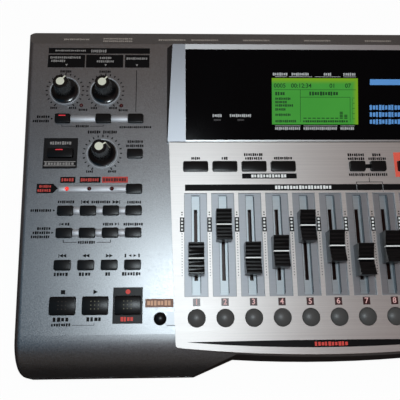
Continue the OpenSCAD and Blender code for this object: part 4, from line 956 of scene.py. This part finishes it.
# %% Display marks
GLASS, SCREEN = -0.1, -0.8
LEVELS = [0.6] * 8 + [5.6, 3.4]
COUNTER_S, COUNTER_TALL = 42.8, 3.3
pale = rows(((-30.4, -18.9, 51.5), (-16, -2.5, 51.5), (8.8, 14.8, 51.5), (23.8, 33.7, 51.5),
             (-28.9, -9.4, 10.0), (-7.1, 18.9, 10.0), (21.2, 32.2, 10.0), (-76.5, -69.4, 19.8),
             (-63.4, -46.8, 19.8)), 1.9)
for u0, u1, s in ((-28.7, -19.8, 49.6), (-18, -0.2, 49.6), (1.8, 21.5, 49.6), (23.8, 33.6, 49.6),
                  (-28.9, -9.4, 12.0), (-7.1, 18.9, 12.0), (21.2, 32.2, 12.0)):
    pale += [box(u0, u1, s - 0.18, s + 0.18)]
print_marks("window_marks", pale, on_display, GLASS, "ink_pale")
blue = [box(44.3, 92.0, 43.4, 47.8)] + rows([(44.0, 92.0, s) for s in (26.1, 20.7, 15.2)], 3.4, 2.4)
print_marks("window_blue", blue, on_display, GLASS, "ink_blue")
slits = boxes(((-75.7, -70.4, 15.9, 17.1), (-57.7, -52.7, 15.9, 17.1)))
print_marks("window_slits", slits, on_display, GLASS, "ink_slit")
dark = boxes(((-29.5, 33.8, 39.65, 39.95), (-9.45, -9.15, 15.0, 39.8), (-9.3, 29.1, 33.95, 34.25),
              (28.95, 29.25, 15.0, 34.1)))
dark += rows(((-2.3, 20.2, 36.9, 2.6, 2.0), (-28.5, -20.7, 36.8, 2.4, 2.0), (-7.2, 27.5, 15.6, 1.5, 1.75)))
dark += rows([(-28.5, -28.5 + reach, s) for s, reach in
              ((32.9, 12), (30.3, 9), (27.7, 14), (24.7, 8), (20.6, 12), (15.7, 16))], 1.7, 1.4)
for k, rise in enumerate(LEVELS):
    left = -7.0 + 3.5 * k
    dark += [box(left, left + 2.4, s, s + 0.75) for s in np.arange(17.6, 17.6 + rise, 1.15)]
for k, s in enumerate(np.arange(17.5, 33.7, 1.0)):
    dark += [box(30.6, 31.2 if k % 4 else 32.6, s - 0.15, s + 0.15)]
print_marks("screen_marks", dark, on_display, SCREEN, "screen_ink")
counter = [(text, u, COUNTER_S, COUNTER_TALL)
           for text, u in (("00:12:34", -8.5), ("0005", -25.0), ("01", 15.5), ("07", 27.5))]
add_piece("screen_numbers", *numbers(counter, on_display, SCREEN), "screen_ink")
print("display marks:", len(pale), "pale,", len(blue), "blue,", len(dark), "on the screen")

# %% [markdown]
# A knob's grip is moulded with fine flutes for the fingers. They are a sleeve over the grip: a cone whose
# radius rises and falls round it. A pale pointer runs from the cream disc in the top to the rim and straight
# down the sleeve. It is a narrow ribbon on a path in the plane of the profile, and it turns with its knob.

# %% Knob flutes, pointers and discs
KNOB_TOP, RIM_R, FOOT_R, FOOT_W = 13.4, 5.6, 6.75, 1.4
INLAY_R, FLUTES, FLUTE_DEEP = 3.15, 22, 0.3
POINTER_WIDE, POINTER_THICK = 1.0, 0.2


def skin(rings):
    """A closed surface over rings of points: quads between neighbours, and the end rings as caps."""
    m, n = rings.shape[:2]
    a = (np.arange(m - 1)[:, None] * n + np.arange(n)).ravel()
    b = (np.arange(m - 1)[:, None] * n + np.roll(np.arange(n), -1)).ravel()
    faces = np.column_stack([a, b, b + n, a + n]).tolist()
    faces += [np.arange(n)[::-1].tolist(), ((m - 1) * n + np.arange(n)).tolist()]
    return rings.reshape(-1, 3), faces


def ribbon(path, width, thick):
    """A closed strip: two rails beside a path in a plane, thick to each side of it, spread over the width."""
    path = np.asarray(path, float)
    along = np.gradient(path, axis=0)
    along /= np.linalg.norm(along, axis=1, keepdims=True)
    out = thick * np.column_stack([-along[:, 1], along[:, 0]])
    half = width / 2
    corners = ((-half, path + out), (half, path + out), (half, path - out), (-half, path - out))
    return skin(np.stack([np.column_stack([np.full(len(path), side), rail]) for side, rail in corners], 1))


def turned(radii, heights, t):
    """Rings about the upright axis: radii times cosine and sine of the angles t, at the heights."""
    return np.stack([radii * np.cos(t), radii * np.sin(t), np.repeat(heights[:, None], len(t), 1)], -1)


def round_plate(r, low, high, n=48, rise=0.12):
    """A low cushion: rings of a circle at growing heights, drawn in at the top, closed at both ends."""
    t = np.arange(n) * 2 * math.pi / n
    radii = np.array([r, r, r - 0.15, r * 0.5])[:, None]
    return skin(turned(radii, np.array([low, high - rise, high, high + 0.05]), t))


def fluted_sleeve(n=FLUTES * 8):
    """A cone from the foot to the rim less 0.3 mm x sin^2(half the flute angle), rounded in at the top."""
    t = np.arange(n) * 2 * math.pi / n
    w = np.array([FOOT_W, 4.0, 7.0, 10.0, 12.8, 13.2, KNOB_TOP + 0.03])
    drawn_in = np.array([0, 0, 0, 0, 0, 0.12, 0.45])
    r = FOOT_R + (RIM_R - FOOT_R) * (w - FOOT_W) / (KNOB_TOP - FOOT_W) - drawn_in
    return skin(turned(r[:, None] - FLUTE_DEEP * np.sin(FLUTES * t / 2) ** 2, w, t))


pointer_path = np.array([[INLAY_R - 0.2, KNOB_TOP + 0.02], [4.2, KNOB_TOP + 0.02], [RIM_R - 0.4, KNOB_TOP],
                         [RIM_R - 0.05, KNOB_TOP - 0.35], [5.93, 10.0], [6.22, 7.0], [FOOT_R - 0.1, 2.6],
                         [7.0, 1.3]])
pointer, pointer_faces = ribbon(pointer_path, POINTER_WIDE, POINTER_THICK)
inlay, inlay_faces = round_plate(INLAY_R, KNOB_TOP - 0.2, KNOB_TOP + 0.1)
sleeve, sleeve_faces = fluted_sleeve()
for name, (u, v), turn in (("sens_knob_1", SENS[0], 38.0), ("sens_knob_2", SENS[1], 43.0),
                           ("input_level_knob", LEVEL, 60.0)):
    a = math.radians(turn)
    across, reach, w = pointer.T
    spot = np.column_stack([u + across * math.cos(a) + reach * math.sin(a),
                            v - across * math.sin(a) + reach * math.cos(a), w])
    add_piece(name + "_pointer", on_panel(spot), pointer_faces, "cap_ivory", name)
    add_piece(name + "_inlay", on_panel(inlay + (u, v, 0)), inlay_faces, "cap_ivory", name)
    add_piece(name + "_flutes", on_panel(sleeve + (u, v, 0)), sleeve_faces, "knob_black", name)
print("pointer ribbon:", len(pointer), "points on", len(pointer_path), "stations")

# %% [markdown]
# Each fader cap has a white line over its middle ridge that runs a little way down both sides, so its level
# can be read from any side. It is the same ribbon on a path across the cap, and it slides with its cap.

# %% Fader lines
REST = [14.4, 38.5, 14.5, 19.1, 37.5, 22.7, 13.1, 22.0, 24.0, 30.0]
RIDGE_TOP, CAP_HALF, EASE = 9.1, 5.5, 0.16
side = np.array([[CAP_HALF, 5.6], [CAP_HALF, 7.6], [CAP_HALF, RIDGE_TOP - EASE],
                 [CAP_HALF - EASE, RIDGE_TOP]])
over = np.concatenate([side * (-1, 1), [[0.0, RIDGE_TOP]], side[::-1]])
line, line_faces = ribbon(over, 0.85, 0.05)
for k, (u, v) in enumerate(zip(FADERS, REST), 1):
    spot = np.column_stack([u + line[:, 1], v - line[:, 0], line[:, 2]])
    add_piece(f"fader_{k}_line", on_panel(spot), line_faces, "ink_white", f"fader_{k}")
print("fader lines:", k)

# %% [markdown]
# The transport keys have nine small dimples for the fingertip, drawn as dots of painted shade on the stop key
# and of painted sheen on the play and record keys, and two keys have a lit red line. They sit on crowned
# tops, so each mark's height follows the crown: the top less what a 24 mm cylinder drops.

# %% Marks on keys
CROWN, KEY_TOP = 24.0, DECK + 2.2


def on_crown(mid_v):
    """Panel coordinates for marks on a key whose crown runs along v = mid_v."""
    def place(points):
        points = np.array(points, float)
        points[:, 2] += np.sqrt(CROWN ** 2 - (points[:, 1] - mid_v) ** 2) - CROWN
        return on_panel(points)
    return place


DIMPLES = [(du, dv) for du in (-2.6, 0, 2.6) for dv in (-2.6, 0, 2.6)]
DIMPLE_V, DIMPLE_R, CROWN_V = -16.4, 0.42, -16.7
DIMPLED = (("stop_key", "dimple_dim"), ("play_key", "dimple_pale"), ("rec_key", "dimple_pale"))
# Each dimple is a dot of colour: dim for painted shade on the stop key, pale for painted sheen on play and
# record.
for u, (name, ink) in zip(TRANSPORT, DIMPLED):
    dots = [disc(u + du, DIMPLE_V + dv, DIMPLE_R, 10) for du, dv in DIMPLES]
    print_marks(name + "_dimples", dots, on_crown(CROWN_V), KEY_TOP - 0.02, ink, name)
for name, body, bar, crown_v in (
        ("select_lit_line", "input_select_keys", (-194.0, -188.9, 125.9, 126.7), 124.4),
        ("effects_lit_line", "effects_key", (-194.8, -189.4, 98.2, 98.9), 96.3)):
    print_marks(name, [box(*bar)], on_crown(crown_v), KEY_TOP, "line_red", body)
print("key marks on:", "stop, play, rec, select, effects")

# %% [markdown]
# The rear has plain numbers over its eight jacks. They face the rear, so their own right is the model's -X.

# %% Rear numbers
JACKS, JACK_Z, REAR_Y = (-176, -148, -120, -92, -50, -22, 22, 50), 36.0, 128.45
NUMBER_UP, NUMBER_TALL = 12.5, 4.0


def on_rear(points):
    """Marks on the connector plate: x to the right as seen from behind, y up, z out of the plate."""
    x, y, z = np.moveaxis(np.asarray(points, float), -1, 0)
    return np.stack([-x, REAR_Y + z, JACK_Z + y], -1) / 1000


rear_figures = [(str(len(JACKS) - k), -x, NUMBER_UP, NUMBER_TALL) for k, x in enumerate(JACKS)]
add_piece("rear_numbers", *numbers(rear_figures, on_rear, 0.0), "ink_white")
print("rear numbers:", len(rear_figures))
